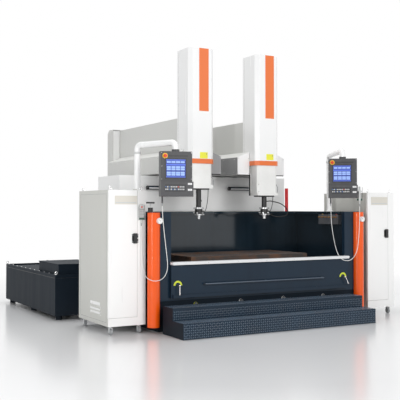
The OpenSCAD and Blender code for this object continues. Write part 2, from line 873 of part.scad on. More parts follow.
module panel() {
    half = panel_width / 2;
    reach = panel_thick / 2;
    pad_top = keypad_share * panel_height;
    screen_low = screen_z_share * panel_height;
    difference() {
        union() {
            difference() {
                union() {
                    block([-half, -reach, 0], [half, reach, panel_height]);
                    block([-half, -reach - keypad_proud, 0], [half + keypad_side, reach, pad_top]);
                }
                block([-half + panel_wall, -reach + panel_wall, panel_wall],
                    [half - panel_wall, reach - panel_wall, panel_height - panel_wall]);
            }
            translate([0, 0, panel_height + collar_height - hinge_pin_length - panel_wall])
                cylinder(d = collar_d, h = hinge_pin_length + panel_wall);
        }
        block([screen_shift - screen_w / 2, -reach - overrun, screen_low],
            [screen_shift + screen_w / 2, screen_t - reach, screen_low + screen_h]);
        translate([0, 0, panel_height + collar_height - hinge_pin_length - face_gap])
            cylinder(d = hinge_pin_d + 2 * running_gap, h = hinge_pin_length + overrun + face_gap);
        translate([stop_x_share * panel_width, -reach - overrun, stop_z_share * panel_height])
            rod_y(stop_hole_d + 2 * running_gap, panel_wall + 2 * overrun);
    }
    translate([gland_x_share * panel_width, 0, -gland_drop]) cylinder(d = gland_d, h = gland_drop);
}
panel_wall = 8;

module panel_left() {
    color([0.27, 0.27, 0.28]) left_panel_place() panel();
}

module panel_right() {
    color([0.27, 0.27, 0.28]) right_panel_place() {
        panel();
        block([panel_width / 2 + keypad_side - overrun, -hook_w / 2, handset_hook_z],
            [panel_width / 2 + keypad_side + hook_reach, hook_w / 2, handset_hook_z + hook_w]);
    }
}
handset_hook_z = 60;
hook_w = 24;
hook_reach = 12;

module screen() {
    low = screen_z_share * panel_height;
    block([screen_shift - screen_w / 2 + face_gap, -panel_thick / 2 + screen_t / 3, low + face_gap],
        [screen_shift + screen_w / 2 - face_gap, screen_t - panel_thick / 2, low + screen_h - face_gap]);
}

module screen_left() { color([0.35, 0.5, 0.85]) left_panel_place() screen(); }
module screen_right() { color([0.35, 0.5, 0.85]) right_panel_place() screen(); }

// Mushroom stop button: head outside, stem through the panel's face
module stop_button() {
    translate([stop_x_share * panel_width, -panel_thick / 2 - stop_reach, stop_z_share * panel_height]) {
        rod_y(stop_head_d, stop_reach - stop_travel - overrun);
        rod_y(stop_hole_d, stop_reach + panel_wall);
    }
}

module stop_button_left() { color([0.9, 0.35, 0.1]) left_panel_place() stop_button(); }
module stop_button_right() { color([0.9, 0.35, 0.1]) right_panel_place() stop_button(); }

// Hand-held pendants and their cords
handset_w = 84;
handset_t = 28;
handset_length = 205;
handset_tip_w = 40;
handset_nose = 40;
handset_x = -1818;
left_handset_y = cabinet_y(left) - handset_t;
left_handset_drop = 383;
left_handset_z = cabinet_top - left_handset_drop;
right_handset_z = -43;
strain_d = 18;
strain_length = 42;

module handset() {
    half = handset_w / 2;
    tip = handset_tip_w / 2;
    rotate([90, 0, 0]) mirror([0, 0, 1]) linear_extrude(height = handset_t)
        polygon([[-half, 0], [half, 0], [half, handset_length - handset_nose], [tip, handset_length],
            [-tip, handset_length], [-half, handset_length - handset_nose]]);
    translate([0, handset_t / 2, -strain_length]) cylinder(d = strain_d, h = strain_length);
}

module handset_left() {
    color([0.75, 0.75, 0.74]) translate([handset_x, left_handset_y, left_handset_z]) handset();
}

module handset_right() {
    color([0.75, 0.75, 0.74]) right_panel_place()
        translate([panel_width / 2 + keypad_side + hook_reach + handset_t, 0, right_handset_z])
            rotate([0, 0, 90]) handset();
}

// Cord routes, the right one in its panel's own place
cord_d = 8;
cord_sides = 8;
cord_steps = 3;
left_cord_route = [[-1739, -1168, 1663], [-1739, -1168, 1640], [-1739, -1168, 1610], [-1737, -1176, 1520],
    [-1733, -1198, 1360], [-1726, -1237, 1150], [-1718, -1276, 900], [-1726, -1238, 785], [-1743, -1150, 718],
    [-1765, -1023, 691], [-1786, -905, 700], [-1803, -815, 745], [-1815, -750, 870], [-1818, -735, 1130],
    [-1818, -729, 1265], [-1818, -728, 1335], [-1818, -728, 1372], [-1818, -728, 1406]];
right_cord_route = [[-168, 0, -80], [-168, 0, -105], [-168, 0, -140], [-165, 0, -220], [-158, 0, -360],
    [-130, 0, -560], [-100, 0, -705], [-66, 0, -800], [-14, 0, -866], [50, 0, -888], [114, 0, -872],
    [168, 0, -810], [206, 0, -700], [228, 0, -460], [235, 0, -255], [236, 0, -165], [236, 0, -120],
    [236, 0, -85]];

// Smooth route through its points, and a tube swept along it
function spline(p, i, t) =
    let (a = p[max(i - 1, 0)], b = p[i], c = p[i + 1], d = p[min(i + 2, len(p) - 1)])
    0.5 * (2 * b + (c - a) * t + (2 * a - 5 * b + 4 * c - d) * t * t + (3 * b - a - 3 * c + d) * t * t * t);
function route(p, steps) = [for (i = [0 : len(p) - 2], j = [0 : steps - 1]) spline(p, i, j / steps),
    p[len(p) - 1]];
function unit(v) = v / norm(v);
function heading(p, i) = i == 0 ? unit(p[1] - p[0])
    : i == len(p) - 1 ? unit(p[i] - p[i - 1]) : unit(p[i + 1] - p[i - 1]);

module swept_tube(points, d, sides, across) {
    rings = [for (i = [0 : len(points) - 1])
        let (ahead = heading(points, i), u = unit(cross(ahead, across)), v = cross(ahead, u))
        for (k = [0 : sides - 1])
            points[i] + d / 2 * (cos(360 * k / sides) * u + sin(360 * k / sides) * v)];
    last = (len(points) - 1) * sides;
    polyhedron(points = rings, faces = concat(
        [[for (k = [0 : sides - 1]) sides - 1 - k]],
        [[for (k = [0 : sides - 1]) last + k]],
        [for (i = [0 : len(points) - 2], k = [0 : sides - 1])
            [i * sides + k, i * sides + (k + 1) % sides, (i + 1) * sides + (k + 1) % sides]],
        [for (i = [0 : len(points) - 2], k = [0 : sides - 1])
            [i * sides + k, (i + 1) * sides + (k + 1) % sides, (i + 1) * sides + k]]));
}

module cord_left() {
    color("white") swept_tube(route(left_cord_route, cord_steps), cord_d, cord_sides, [1, 0.2, 0]);
}

module cord_right() {
    color("white") right_panel_place()
        swept_tube(route(right_cord_route, cord_steps), cord_d, cord_sides, [0, 1, 0]);
}

// Saddle: hollow cheeks beside the ram, a floor over the body, runners, front covers and tail
channel_half = head_width / 2 + channel_gap;
cover_t = 4;
carriage_w = 110;
carriage_l = 160;
carriage_x_share = 0.6;
carriage_lift = 6;
nut_w = 90;
y_rail_x = 165;
y_rail_w = 30;
y_rail_h = 30;
floor_z = saddle_low + saddle_floor;
ram_low = floor_z + y_rail_h + face_gap;
tail_front = ram_end + face_gap;
tail_rear = tail_front + tail_depth;

module cheek_profile(inset) {
    polygon([[channel_half + inset, saddle_low + inset],
        [channel_half + cheek_width - inset, saddle_low + inset],
        [channel_half + cheek_width - inset, cheek_side_high - inset / 2],
        [channel_half + inset, cheek_high - inset * 1.5]]);
}

module along_y(y0, y1) {
    translate([0, y1, 0]) rotate([90, 0, 0]) linear_extrude(height = y1 - y0) children();
}

module along_x(x0, x1) {
    translate([x0, 0, 0]) rotate([90, 0, 90]) linear_extrude(height = x1 - x0) children();
}

module tail_profile(inset, low, high) {
    polygon([[tail_front - (inset > 0 ? overrun : 0), low], [tail_rear - inset, low],
        [tail_rear - inset, high - tail_chamfer], [tail_rear - inset - tail_chamfer, high],
        [tail_front - (inset > 0 ? overrun : 0), high]]);
}

module saddle() {
    y0 = door_plane + saddle_front;
    half = ram_width / 2 + tail_side;
    color([0.8, 0.8, 0.79]) {
        both_sides() along_y(y0 + cover_t, tail_front) difference() {
            cheek_profile(0);
            cheek_profile(saddle_wall);
        }
        block([-channel_half - saddle_wall / 2, body_front, saddle_low],
            [channel_half + saddle_wall / 2, tail_front, floor_z]);
        difference() {
            along_x(-half, half) tail_profile(0, saddle_low, ram_high + saddle_wall);
            along_x(saddle_wall - half, half - saddle_wall)
                tail_profile(saddle_wall, floor_z, ram_high + face_gap);
        }
    }
    color("white") both_sides() along_y(y0, y0 + cover_t) cheek_profile(0);
    color([0.5, 0.5, 0.52]) {
        for (share = rail_y_share) both_sides()
            translate([carriage_x_share * channel_half, body_y(share), 0]) difference() {
                block([-carriage_l / 2, -carriage_w / 2, body_top - groove_depth + carriage_lift],
                    [carriage_l / 2, carriage_w / 2, saddle_low]);
                block([-carriage_l, -rail_w / 2 - face_gap, 0],
                    [carriage_l, rail_w / 2 + face_gap, body_top - groove_depth + rail_h + face_gap]);
            }
        difference() {
            block([-nut_w / 2, body_y(screw_y_share) - nut_w / 2, body_top - groove_depth + carriage_lift],
                [nut_w / 2, body_y(screw_y_share) + nut_w / 2, saddle_low]);
            translate([-nut_w, body_y(screw_y_share), screw_z])
                rod_x(screw_d + 2 * running_gap, 2 * nut_w);
        }
    }
}
module saddle_left() { translate([-head_x, 0, 0]) saddle(); }
module saddle_right() { translate([head_x, 0, 0]) saddle(); }

// Ram drive: two rails, motor in the tail, screw and its front bearing
y_screw_d = 32;
y_screw_rise = 82;
motor_w = 120;
motor_l = 150;
bearing_t = 40;
bearing_w = 96;
bearing_y = body_front + 60;

module y_drive() {
    screw_y = floor_z + y_screw_rise;
    motor_y = tail_rear - saddle_wall - motor_l;
    color([0.6, 0.6, 0.62]) {
        both_sides() block([y_rail_x - y_rail_w / 2, body_front, floor_z],
            [y_rail_x + y_rail_w / 2, tail_front, floor_z + y_rail_h]);
        difference() {
            block([-bearing_w / 2, bearing_y, floor_z],
                [bearing_w / 2, bearing_y + bearing_t, screw_y + y_screw_d]);
            translate([0, bearing_y - overrun, screw_y]) rod_y(y_screw_d, bearing_t + 2 * overrun);
        }
        translate([0, bearing_y, screw_y]) rod_y(y_screw_d, motor_y - bearing_y);
    }
    color([0.08, 0.08, 0.09])
        block([-motor_w / 2, motor_y, screw_y - motor_w / 2],
            [motor_w / 2, tail_rear - saddle_wall, screw_y + motor_w / 2]);
}

module y_drive_left() { translate([-head_x, 0, 0]) y_drive(); }
module y_drive_right() { translate([head_x, 0, 0]) y_drive(); }

// Ram: inverted channel with inward feet on the rails and a nut plate inside
ram_foot_w = 44;
ram_foot_h = 26;
ram_front_t = 24;
nut_plate_y_share = 0.6;
nut_plate_t = 60;
nut_plate_rise = 120;

module ram() {
    half = ram_width / 2;
    y0 = head_rear;
    nut_y = y0 + nut_plate_y_share * (ram_end - y0);
    color([0.8, 0.8, 0.79]) {
        difference() {
            block([-half, y0, ram_low], [half, ram_end, ram_high]);
            block([ram_wall - half, y0 + ram_front_t, ram_low + ram_foot_h],
                [half - ram_wall, ram_end + overrun, ram_high - ram_wall]);
            block([ram_wall + ram_foot_w - half, y0 + ram_front_t, ram_low - overrun],
                [half - ram_wall - ram_foot_w, ram_end + overrun, ram_low + ram_foot_h + overrun]);
        }
        difference() {
            block([ram_wall - half, nut_y, ram_low + ram_foot_h],
                [half - ram_wall, nut_y + nut_plate_t, ram_low + nut_plate_rise]);
            translate([0, nut_y - overrun, floor_z + y_screw_rise])
                rod_y(y_screw_d + 2 * running_gap, nut_plate_t + 2 * overrun);
        }
    }
}

module ram_left() { translate([-head_x, 0, 0]) ram(); }
module ram_right() { translate([head_x, 0, 0]) ram(); }

// Column cover with chamfered front corners and a proud band round its foot
module head_outline(grow) {
    half = head_width / 2 + grow;
    front = head_y - grow;
    polygon([[-half, head_rear], [-half, front + head_chamfer], [head_chamfer - half, front],
        [half - head_chamfer, front], [half, front + head_chamfer], [half, head_rear]]);
}

module head_cover() {
    color("white") difference() {
        union() {
            translate([0, 0, head_low]) linear_extrude(height = head_high - head_low) head_outline(0);
            translate([0, 0, head_low]) linear_extrude(height = band_height) head_outline(band_proud);
        }
        intersection() {
            translate([0, 0, head_low - overrun])
                linear_extrude(height = head_high - head_low + overrun - head_wall)
                    head_outline(-head_wall);
            block([-head_width, head_y, 0], [head_width, head_rear - head_wall, head_high]);
        }
    }
}

module head_cover_left() { translate([-head_x, 0, 0]) head_cover(); }
module head_cover_right() { translate([head_x, 0, 0]) head_cover(); }

// Quill drive: backing column, two rails, motor on its plate and the screw
z_screw_d = 32;
z_screw_low = 2225;
z_motor_plate = 3540;
z_motor_w = 130;
z_motor_h = 240;
z_plate_t = 20;
z_rail_x = 130;
z_rail_w = 30;
z_rail_t = 30;
backing_half = 150;
backing_low = 2250;
backing_wall = 16;
quill_rear = quill_y + quill_depth + slide_plate_t;
z_screw_y = quill_y + quill_depth / 2;

module z_drive() {
    back = head_rear - head_wall;
    rail_y = quill_rear + face_gap;
    color([0.55, 0.56, 0.58]) {
        difference() {
            block([-backing_half, rail_y + z_rail_t, backing_low], [backing_half, back, z_motor_plate]);
            block([backing_wall - backing_half, rail_y + z_rail_t + backing_wall, backing_low + backing_wall],
                [backing_half - backing_wall, back - backing_wall, z_motor_plate - backing_wall]);
        }
        both_sides() block([z_rail_x - z_rail_w / 2, rail_y, backing_low],
            [z_rail_x + z_rail_w / 2, rail_y + z_rail_t, z_motor_plate - z_motor_h]);
        block([-backing_half, z_screw_y - z_motor_w / 2, z_motor_plate],
            [backing_half, back, z_motor_plate + z_plate_t]);
        translate([0, z_screw_y, z_screw_low]) cylinder(d = z_screw_d, h = z_motor_plate - z_screw_low);
    }
    color([0.08, 0.08, 0.09])
        block([-z_motor_w / 2, z_screw_y - z_motor_w / 2, z_motor_plate + z_plate_t],
            [z_motor_w / 2, z_screw_y + z_motor_w / 2, z_motor_plate + z_plate_t + z_motor_h]);
}

module z_drive_left() { translate([-head_x, 0, 0]) z_drive(); }
module z_drive_right() { translate([head_x, 0, 0]) z_drive(); }

// Quill: hollow box on a slide plate, foot flange and two cable glands
quill_wall = 12;
z_nut_t = 40;
cable_gland_d = 24;
cable_gland_h = 14;
cable_x = 158;
loop_rise = 138;

module quill(low) {
    half = quill_width / 2;
    color([0.78, 0.78, 0.76]) {
        difference() {
            translate([0, 0, low + flange_height]) linear_extrude(height = quill_high - low - flange_height)
                polygon([[-half, quill_y + quill_depth], [-half, quill_y + quill_chamfer],
                    [quill_chamfer - half, quill_y], [half - quill_chamfer, quill_y],
                    [half, quill_y + quill_chamfer], [half, quill_y + quill_depth]]);
            block([quill_chamfer - half, quill_y + quill_wall, low + flange_height + quill_wall],
                [half - quill_chamfer, quill_y + quill_depth - quill_wall, quill_high - z_nut_t]);
            translate([0, z_screw_y, quill_high - z_nut_t - overrun])
                cylinder(d = z_screw_d + 2 * running_gap, h = z_nut_t + 2 * overrun);
        }
        block([-half - flange_proud, quill_y - flange_proud, low],
            [half + flange_proud, quill_y + quill_depth, low + flange_height]);
    }
    color([0.05, 0.05, 0.05]) {
        block([-slide_plate_w / 2, quill_y + quill_depth, low], [slide_plate_w / 2, quill_rear, quill_high]);
        translate([cable_x, z_screw_y, low - cable_gland_h])
            cylinder(d = cable_gland_d, h = cable_gland_h);
        translate([half, z_screw_y, low + flange_height + loop_rise]) rod_x(cable_gland_d, cable_gland_h);
        translate([half + flange_proud, z_screw_y, low + flange_height / 2])
            rod_x(cable_gland_d, cable_gland_h);
    }
}

module quill_left() { translate([-head_x, 0, 0]) quill(left_quill_low); }
module quill_right() { translate([head_x, 0, 0]) quill(right_quill_low); }

// Electrode chuck: insulated plate, shaft, adjusting head with its screws and the clamp
mount_plate_w = 270;
mount_plate_d = 150;
mount_plate_t = 18;
head_disc_t = 22;
head_block_d = 112;
head_block_h = 74;
lower_disc_d = 126;
lower_disc_t = 16;
clamp_d = 58;
shank_bore_d = 20;
shank_bore_depth = 40;
screw_head_d = 26;
screw_reach = 74;
screw_count = 4;
chuck_gland_x = 88;
hose_gland_rise = 63;
cable_gland_rise = 108;
clip_gland_x = 46;
clip_gland_z = 1704;

module chuck(low) {
    disc_z = shaft_foot - head_disc_t;
    block_z = disc_z - head_block_h;
    color([0.06, 0.06, 0.07]) {
        block([-mount_plate_w / 2, z_screw_y - mount_plate_d / 2, low - mount_plate_t],
            [mount_plate_w / 2, z_screw_y + mount_plate_d / 2, low]);
        translate([0, z_screw_y, shaft_foot]) cylinder(d = shaft_d, h = low - mount_plate_t - shaft_foot);
        translate([0, z_screw_y, clip_gland_z]) rod_x(cable_gland_d, clip_gland_x);
        translate([0, z_screw_y, block_z]) cylinder(d = head_block_d, h = head_block_h);
        for (rise = [hose_gland_rise, cable_gland_rise])
            translate([0, z_screw_y, chuck_foot + rise]) rod_x(cable_gland_d, chuck_gland_x);
    }
    color([0.75, 0.74, 0.72]) {
        translate([0, z_screw_y, disc_z]) cylinder(d = chuck_d, h = head_disc_t);
        for (k = [0 : screw_count - 1])
            translate([0, z_screw_y, block_z + screw_head_d / 2 + overrun])
                rotate([0, 0, (k + 0.5) * 360 / screw_count]) rod_x(screw_head_d, screw_reach);
        translate([0, z_screw_y, block_z - lower_disc_t]) cylinder(d = lower_disc_d, h = lower_disc_t);
        difference() {
            translate([0, z_screw_y, chuck_foot])
                cylinder(d = clamp_d, h = block_z - lower_disc_t - chuck_foot);
            translate([0, z_screw_y, chuck_foot - overrun])
                cylinder(d = shank_bore_d, h = shank_bore_depth + overrun);
        }
    }
}

module chuck_left() { translate([-head_x, 0, 0]) chuck(left_quill_low); }
module chuck_right() { translate([head_x, 0, 0]) chuck(right_quill_low); }

// Cables held at both ends on a head: a side loop, a drop to the chuck and, on the right, a flushing hose
cable_d = 9;
hose_d = 15;
cable_steps = 3;
loop_route = [[189, 0, 138], [196, 0, 138], [203, 0, 138], [226, 0, 128], [242, 0, 98], [246, 0, 50],
    [236, 0, 4], [219, 0, -17], [206, 0, -22], [202, 0, -22], [197, 0, -22]];
left_drop_route = [[158, 0, 1869], [158, 0, 1855], [158, 0, 1840], [154, 0, 1760], [140, 0, 1660],
    [120, 0, 1580], [106, 0, 1555], [98, 0, 1551], [93, 0, 1551], [88, 0, 1551]];
right_drop_route = [[158, 0, 1774], [158, 0, 1760], [158, 0, 1745], [154, 0, 1690], [140, 0, 1620],
    [120, 0, 1572], [106, 0, 1555], [98, 0, 1551], [93, 0, 1551], [88, 0, 1551]];
hose_route = [[46, 0, 1704], [56, 0, 1704], [66, 0, 1704], [110, 8, 1708], [190, 30, 1700],
    [320, 34, 1670], [420, 34, 1610], [462, 34, 1540], [430, 34, 1490], [340, 32, 1470], [240, 30, 1470],
    [150, 20, 1492], [118, 4, 1505], [102, 0, 1506], [95, 0, 1506], [88, 0, 1506]];

module head_cables(low, drop) {
    color([0.7, 0.7, 0.7]) translate([0, z_screw_y, low + flange_height])
        swept_tube(route(loop_route, cable_steps), cable_d, cord_sides, [0, 1, 0]);
    color([0.08, 0.08, 0.08]) translate([0, z_screw_y, 0])
        swept_tube(route(drop, cable_steps), cable_d, cord_sides, [0, 1, 0]);
}

module head_cables_left() { translate([-head_x, 0, 0]) head_cables(left_quill_low, left_drop_route); }

module head_cables_right() {
    translate([head_x, 0, 0]) {
        head_cables(right_quill_low, right_drop_route);
        color([0.05, 0.05, 0.05]) translate([0, z_screw_y, 0])
            swept_tube(route(hose_route, cable_steps), hose_d, cord_sides, [0, 1, 0]);
    }
}

machine_base();
work_tank();
work_table();
machine_body();
x_rails();
x_screw();
entry_steps();
corner_columns();
tank_gauges();
flushing_manifold();
oil_standpipe();
work_lamps();
oil_tank();
filter_box();
lifting_eyes();
cabinet_left();
cabinet_right();
caster_frames();
left_front_wheels();
left_rear_wheels();
right_front_wheels();
right_rear_wheels();
cabinet_door_left();
cabinet_door_right();
door_handle_left();
door_handle_right();
tank_door();
door_top_rail();
grab_bar();
latch_left();
latch_right();
drain_handle();
arm_left();
arm_right();
panel_left();
panel_right();
screen_left();
screen_right();
stop_button_left();
stop_button_right();
handset_left();
handset_right();
cord_left();
cord_right();
saddle_left();
saddle_right();
y_drive_left();
y_drive_right();
ram_left();
ram_right();
head_cover_left();
head_cover_right();
z_drive_left();
z_drive_right();
quill_left();
quill_right();
chuck_left();
chuck_right();
head_cables_left();
head_cables_right();
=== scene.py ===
# %% [markdown]
# A die-sinking spark erosion machine with two heads over one tank.
# The solid model gives every piece its size and place. This lesson dresses those solids in paint,
# steel and rubber, and adds the small things that a solid model leaves out: screws, chequer plate,
# keys, dials and cords, a black strip of painted shadow under the door, and rubber wiper strips
# under the saddles that also stand as painted shadow in the gap. The first cell loads the solids
# and keeps the box that they fill.

# %% Load the solids
import math

import bmesh
import bpy
from mathutils import Matrix, Vector


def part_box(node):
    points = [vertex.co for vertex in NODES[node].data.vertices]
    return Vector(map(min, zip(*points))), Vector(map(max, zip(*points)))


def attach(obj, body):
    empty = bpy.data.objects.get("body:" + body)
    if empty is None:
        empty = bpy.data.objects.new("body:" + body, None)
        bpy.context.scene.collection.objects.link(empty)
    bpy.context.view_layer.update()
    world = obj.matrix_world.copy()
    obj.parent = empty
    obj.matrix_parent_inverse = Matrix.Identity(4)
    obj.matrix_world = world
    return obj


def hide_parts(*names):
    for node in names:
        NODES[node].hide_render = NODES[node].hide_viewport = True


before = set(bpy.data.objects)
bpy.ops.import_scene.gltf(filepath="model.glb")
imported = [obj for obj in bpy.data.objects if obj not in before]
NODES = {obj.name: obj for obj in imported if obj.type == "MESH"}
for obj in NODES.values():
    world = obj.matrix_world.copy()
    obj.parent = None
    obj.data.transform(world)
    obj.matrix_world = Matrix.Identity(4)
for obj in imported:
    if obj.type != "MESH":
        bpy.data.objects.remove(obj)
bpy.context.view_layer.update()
scene = bpy.context.scene
SIDES = {"left": -1, "right": 1}
ENDS = (-1, 1)
TO_FRONT, TO_BACK, UP = (0, -1, 0), (0, 1, 0), (0, 0, 1)

# %% [markdown]
# The camera stands to the left of the machine at eye height and looks slightly up.
# A long lens keeps the uprights parallel, and a small shift keeps the floor in the picture.

# %% Camera
VIEW_AZIMUTH, VIEW_PITCH = 29.054, 1.398
eye = bpy.data.cameras.new("eye")
eye.sensor_width, eye.lens, eye.shift_y = 36.0, 71.094, -0.02862
eye.clip_end = 200
camera = bpy.data.objects.new("camera", eye)
scene.collection.objects.link(camera)
camera.location = (-6.0745, -9.934, 1.604)
camera.rotation_euler = (math.radians(90 + VIEW_PITCH), 0, math.radians(-VIEW_AZIMUTH))
bpy.context.scene.camera = camera
print("camera:", tuple(round(x, 2) for x in camera.location), "lens:", round(eye.lens, 1))

# %% [markdown]
# Two cords hang free: each runs from the foot of a control panel down, round and up to a handset.
# The curve passes through chosen points, written in millimetres. Its handles keep the same slope on
# both sides of a point, so it bends evenly, and it leaves each gland straight. The right cord is
# written in the frame of its panel, which stands turned.

# %% Hanging cords
CORD_RADIUS = 0.004
PANEL_PLACES = {"left": (-1.5759, -1.2087, -14), "right": (1.1575, -1.0958, -39)}
PANEL_HEIGHT = 1.743


def panel_place(side):
    x, y, turn = PANEL_PLACES[side]
    return (Matrix.Translation((x, y, PANEL_HEIGHT))
            @ Matrix.Rotation(math.radians(turn), 4, "Z"))


def smooth_cord(name, points, radius):
    curve = bpy.data.curves.new(name, "CURVE")
    curve.dimensions, curve.bevel_depth = "3D", 1.0
    curve.bevel_resolution, curve.resolution_u, curve.use_fill_caps = 3, 6, True
    line = curve.splines.new("BEZIER")
    line.bezier_points.add(len(points) - 1)
    for i, point in enumerate(points):
        slope = (points[min(i + 1, len(points) - 1)] - points[max(i - 1, 0)]) / 6
        knot = line.bezier_points[i]
        knot.handle_left_type = knot.handle_right_type = "FREE"
        knot.co, knot.handle_left, knot.handle_right = point, point - slope, point + slope
        knot.radius = radius
    obj = bpy.data.objects.new(name.replace(" ", "_"), curve)
    scene.collection.objects.link(obj)
    return obj


ROUTES = {
    "left": (Matrix(), [
        (-1739, -1168, 1663), (-1739, -1168, 1640), (-1739, -1168, 1610), (-1737, -1176, 1520),
        (-1733, -1198, 1360), (-1726, -1237, 1150), (-1718, -1276, 900), (-1726, -1238, 785),
        (-1743, -1150, 718), (-1765, -1023, 691), (-1786, -905, 700), (-1803, -815, 745),
        (-1815, -750, 870), (-1818, -735, 1130), (-1818, -729, 1265), (-1818, -728, 1335),
        (-1818, -728, 1372), (-1818, -728, 1406)]),
    "right": (panel_place("right"), [
        (-168, 0, -80), (-168, 0, -105), (-168, 0, -140), (-165, 0, -220), (-158, 0, -360),
        (-130, 0, -560), (-100, 0, -705), (-66, 0, -800), (-14, 0, -866), (50, 0, -888),
        (114, 0, -872), (168, 0, -810), (206, 0, -700), (228, 0, -460), (235, 0, -255),
        (236, 0, -165), (236, 0, -120), (236, 0, -85)])}
LENGTHS, HOLDERS = {"left": 2.047, "right": 1.768}, {"left": "machine", "right": "right_panel"}
CORDS = {}
for side, (place, route) in ROUTES.items():
    line = [place @ (Vector(p) / 1000) for p in route]
    CORDS[side] = smooth_cord(f"{side} handset cord", line, CORD_RADIUS)
    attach(CORDS[side], HOLDERS[side])
    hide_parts(f"cord_{side}")
    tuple(line[0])
print("cords:", LENGTHS)

# %% [markdown]
# The room, the paints and the repeated shapes are all trees of nodes. One helper feeds a socket
# with a value or with another socket, one makes a node and feeds its inputs, and one gives a tree
# a socket of its own.

# %% Nodes and what feeds them


def feed(tree, socket, value):
    if isinstance(value, bpy.types.NodeSocket):
        tree.links.new(value, socket)
    else:
        socket.default_value = value


def node(tree, kind, *ordered, settings=None, **named):
    """Ordered values go to the inputs in turn. A keyword has _ for the space in an input's name."""
    made = tree.nodes.new(kind)
    for label, value in (settings or {}).items():
        setattr(made, label, value)
    for socket, value in zip(made.inputs, ordered):
        feed(tree, socket, value)
    for label, value in named.items():
        feed(tree, made.inputs[label.replace("_", " ")], value)
    return made


def new_socket(tree, in_out, label, kind, value=None):
    socket = tree.interface.new_socket(name=label, in_out=in_out, socket_type="NodeSocket" + kind)
    if value is not None:
        socket.default_value = value


def maths(tree, operation, a, b, clamp=False):
    settings = {"operation": operation, "use_clamp": clamp}
    return node(tree, "ShaderNodeMath", a, b, settings=settings).outputs[0]


# %% [markdown]
# Light comes from a pale room, a broad lamp in front and one above, so that the fronts are white
# and the left sides a soft grey. What the camera, metal and glass see of the room is plain white. A
# tall narrow lamp on the left draws the bright line down the two round columns.

# %% Room and lamps
scene.view_settings.view_transform = "Standard"
ROOM_TINT, ROOM_LEVEL = (0.97, 0.985, 1.0, 1), 0.48
PLAIN_WHITE, ROOM_SEEN = (1, 1, 1, 1), 1.0

room = bpy.data.worlds.new("pale room")
scene.world = room
room.use_nodes = True
tree = room.node_tree
tree.nodes.clear()
path = node(tree, "ShaderNodeLightPath").outputs
lit = node(tree, "ShaderNodeBackground", Color=ROOM_TINT, Strength=ROOM_LEVEL)
seen = node(tree, "ShaderNodeBackground", Color=PLAIN_WHITE, Strength=ROOM_SEEN)
either = maths(tree, "MAXIMUM", path["Is Camera Ray"], path["Is Glossy Ray"])
any_of_them = maths(tree, "MAXIMUM", either, path["Is Transmission Ray"])
mix = node(tree, "ShaderNodeMixShader", any_of_them, lit.outputs[0], seen.outputs[0])
node(tree, "ShaderNodeOutputWorld", Surface=mix.outputs[0])


def lamp(name, place, aim, size, power, height=None):
    data = bpy.data.lights.new(name, "AREA")
    data.shape, data.size, data.energy = "DISK", size, power
    if height:
        data.shape, data.size_y = "RECTANGLE", height
    obj = bpy.data.objects.new(name, data)
    scene.collection.objects.link(obj)
    obj.location = place
    obj.rotation_euler = (Vector(aim) - Vector(place)).to_track_quat("-Z", "Y").to_euler()


lamp("key lamp", (1.5, -16.5, 6.5), (0, 0, 1.8), 7.0, 880)
lamp("top lamp", (-1.0, 3.0, 12.0), (0, 0.5, 0), 6.0, 600)
lamp("strip lamp", (-8.2, -6.4, 2.2), (-1.7, -0.8, 1.4), 0.4, 200, 5.0)
print("lamps:", [light.name for light in bpy.data.lights])

# %% [markdown]
# Every finish is built from three shader groups. The first is sprayed paint: a slow drift of tone,
# faint runs down upright faces, dust near the floor and the fine orange peel of a sprayed coat.

# %% Shader group: sprayed paint


def new_group(name, **amounts):
    """A colour is a tuple and any other amount a number. All groups give the same three results."""
    group = bpy.data.node_groups.new(name, "ShaderNodeTree")
    given = {"Vector": None, "Colour": None} | {k.replace("_", " "): v for k, v in amounts.items()}
    for label, value in given.items():
        kind = "Vector" if label == "Vector" else (
            "Color" if label == "Colour" or isinstance(value, tuple) else "Float")
        new_socket(group, "INPUT", label, kind, value)
    for label, kind in (("Colour", "Color"), ("Roughness", "Float"), ("Height", "Float")):
        new_socket(group, "OUTPUT", label, kind)
    return group, group.nodes.new("NodeGroupInput").outputs


def noise_in(group, vector, scale, detail, stretch=None):
    if stretch:
        vector = node(group, "ShaderNodeMapping", Vector=vector, Scale=stretch).outputs["Vector"]
    noise = node(group, "ShaderNodeTexNoise", Vector=vector, Scale=scale, Detail=detail)
    return noise.outputs["Fac"]


def blend_of(group, factor, a, b):
    mixer = node(group, "ShaderNodeMix", settings={"data_type": "RGBA"})
    for label, value in (("Factor_Float", factor), ("A_Color", a), ("B_Color", b)):
        feed(group, next(s for s in mixer.inputs if s.identifier == label), value)
    return next(s for s in mixer.outputs if s.identifier == "Result_Color")


def swing(group, value, amount):
    """A value from 0 to 1 becomes one that swings round 0."""
    return maths(group, "MULTIPLY", maths(group, "SUBTRACT", value, 0.5), amount)


def patches(group, value, level, contrast, amount):
    """What lies above a level becomes a mask, which is then weakened to an amount."""
    above = maths(group, "SUBTRACT", value, level, True)
    mask = maths(group, "MULTIPLY", above, contrast, True)
    return maths(group, "MULTIPLY", mask, amount, True)


def toned(group, colour, change):
    value = maths(group, "ADD", 1.0, change)
    return node(group, "ShaderNodeHueSaturation", Value=value, Color=colour).outputs[0]


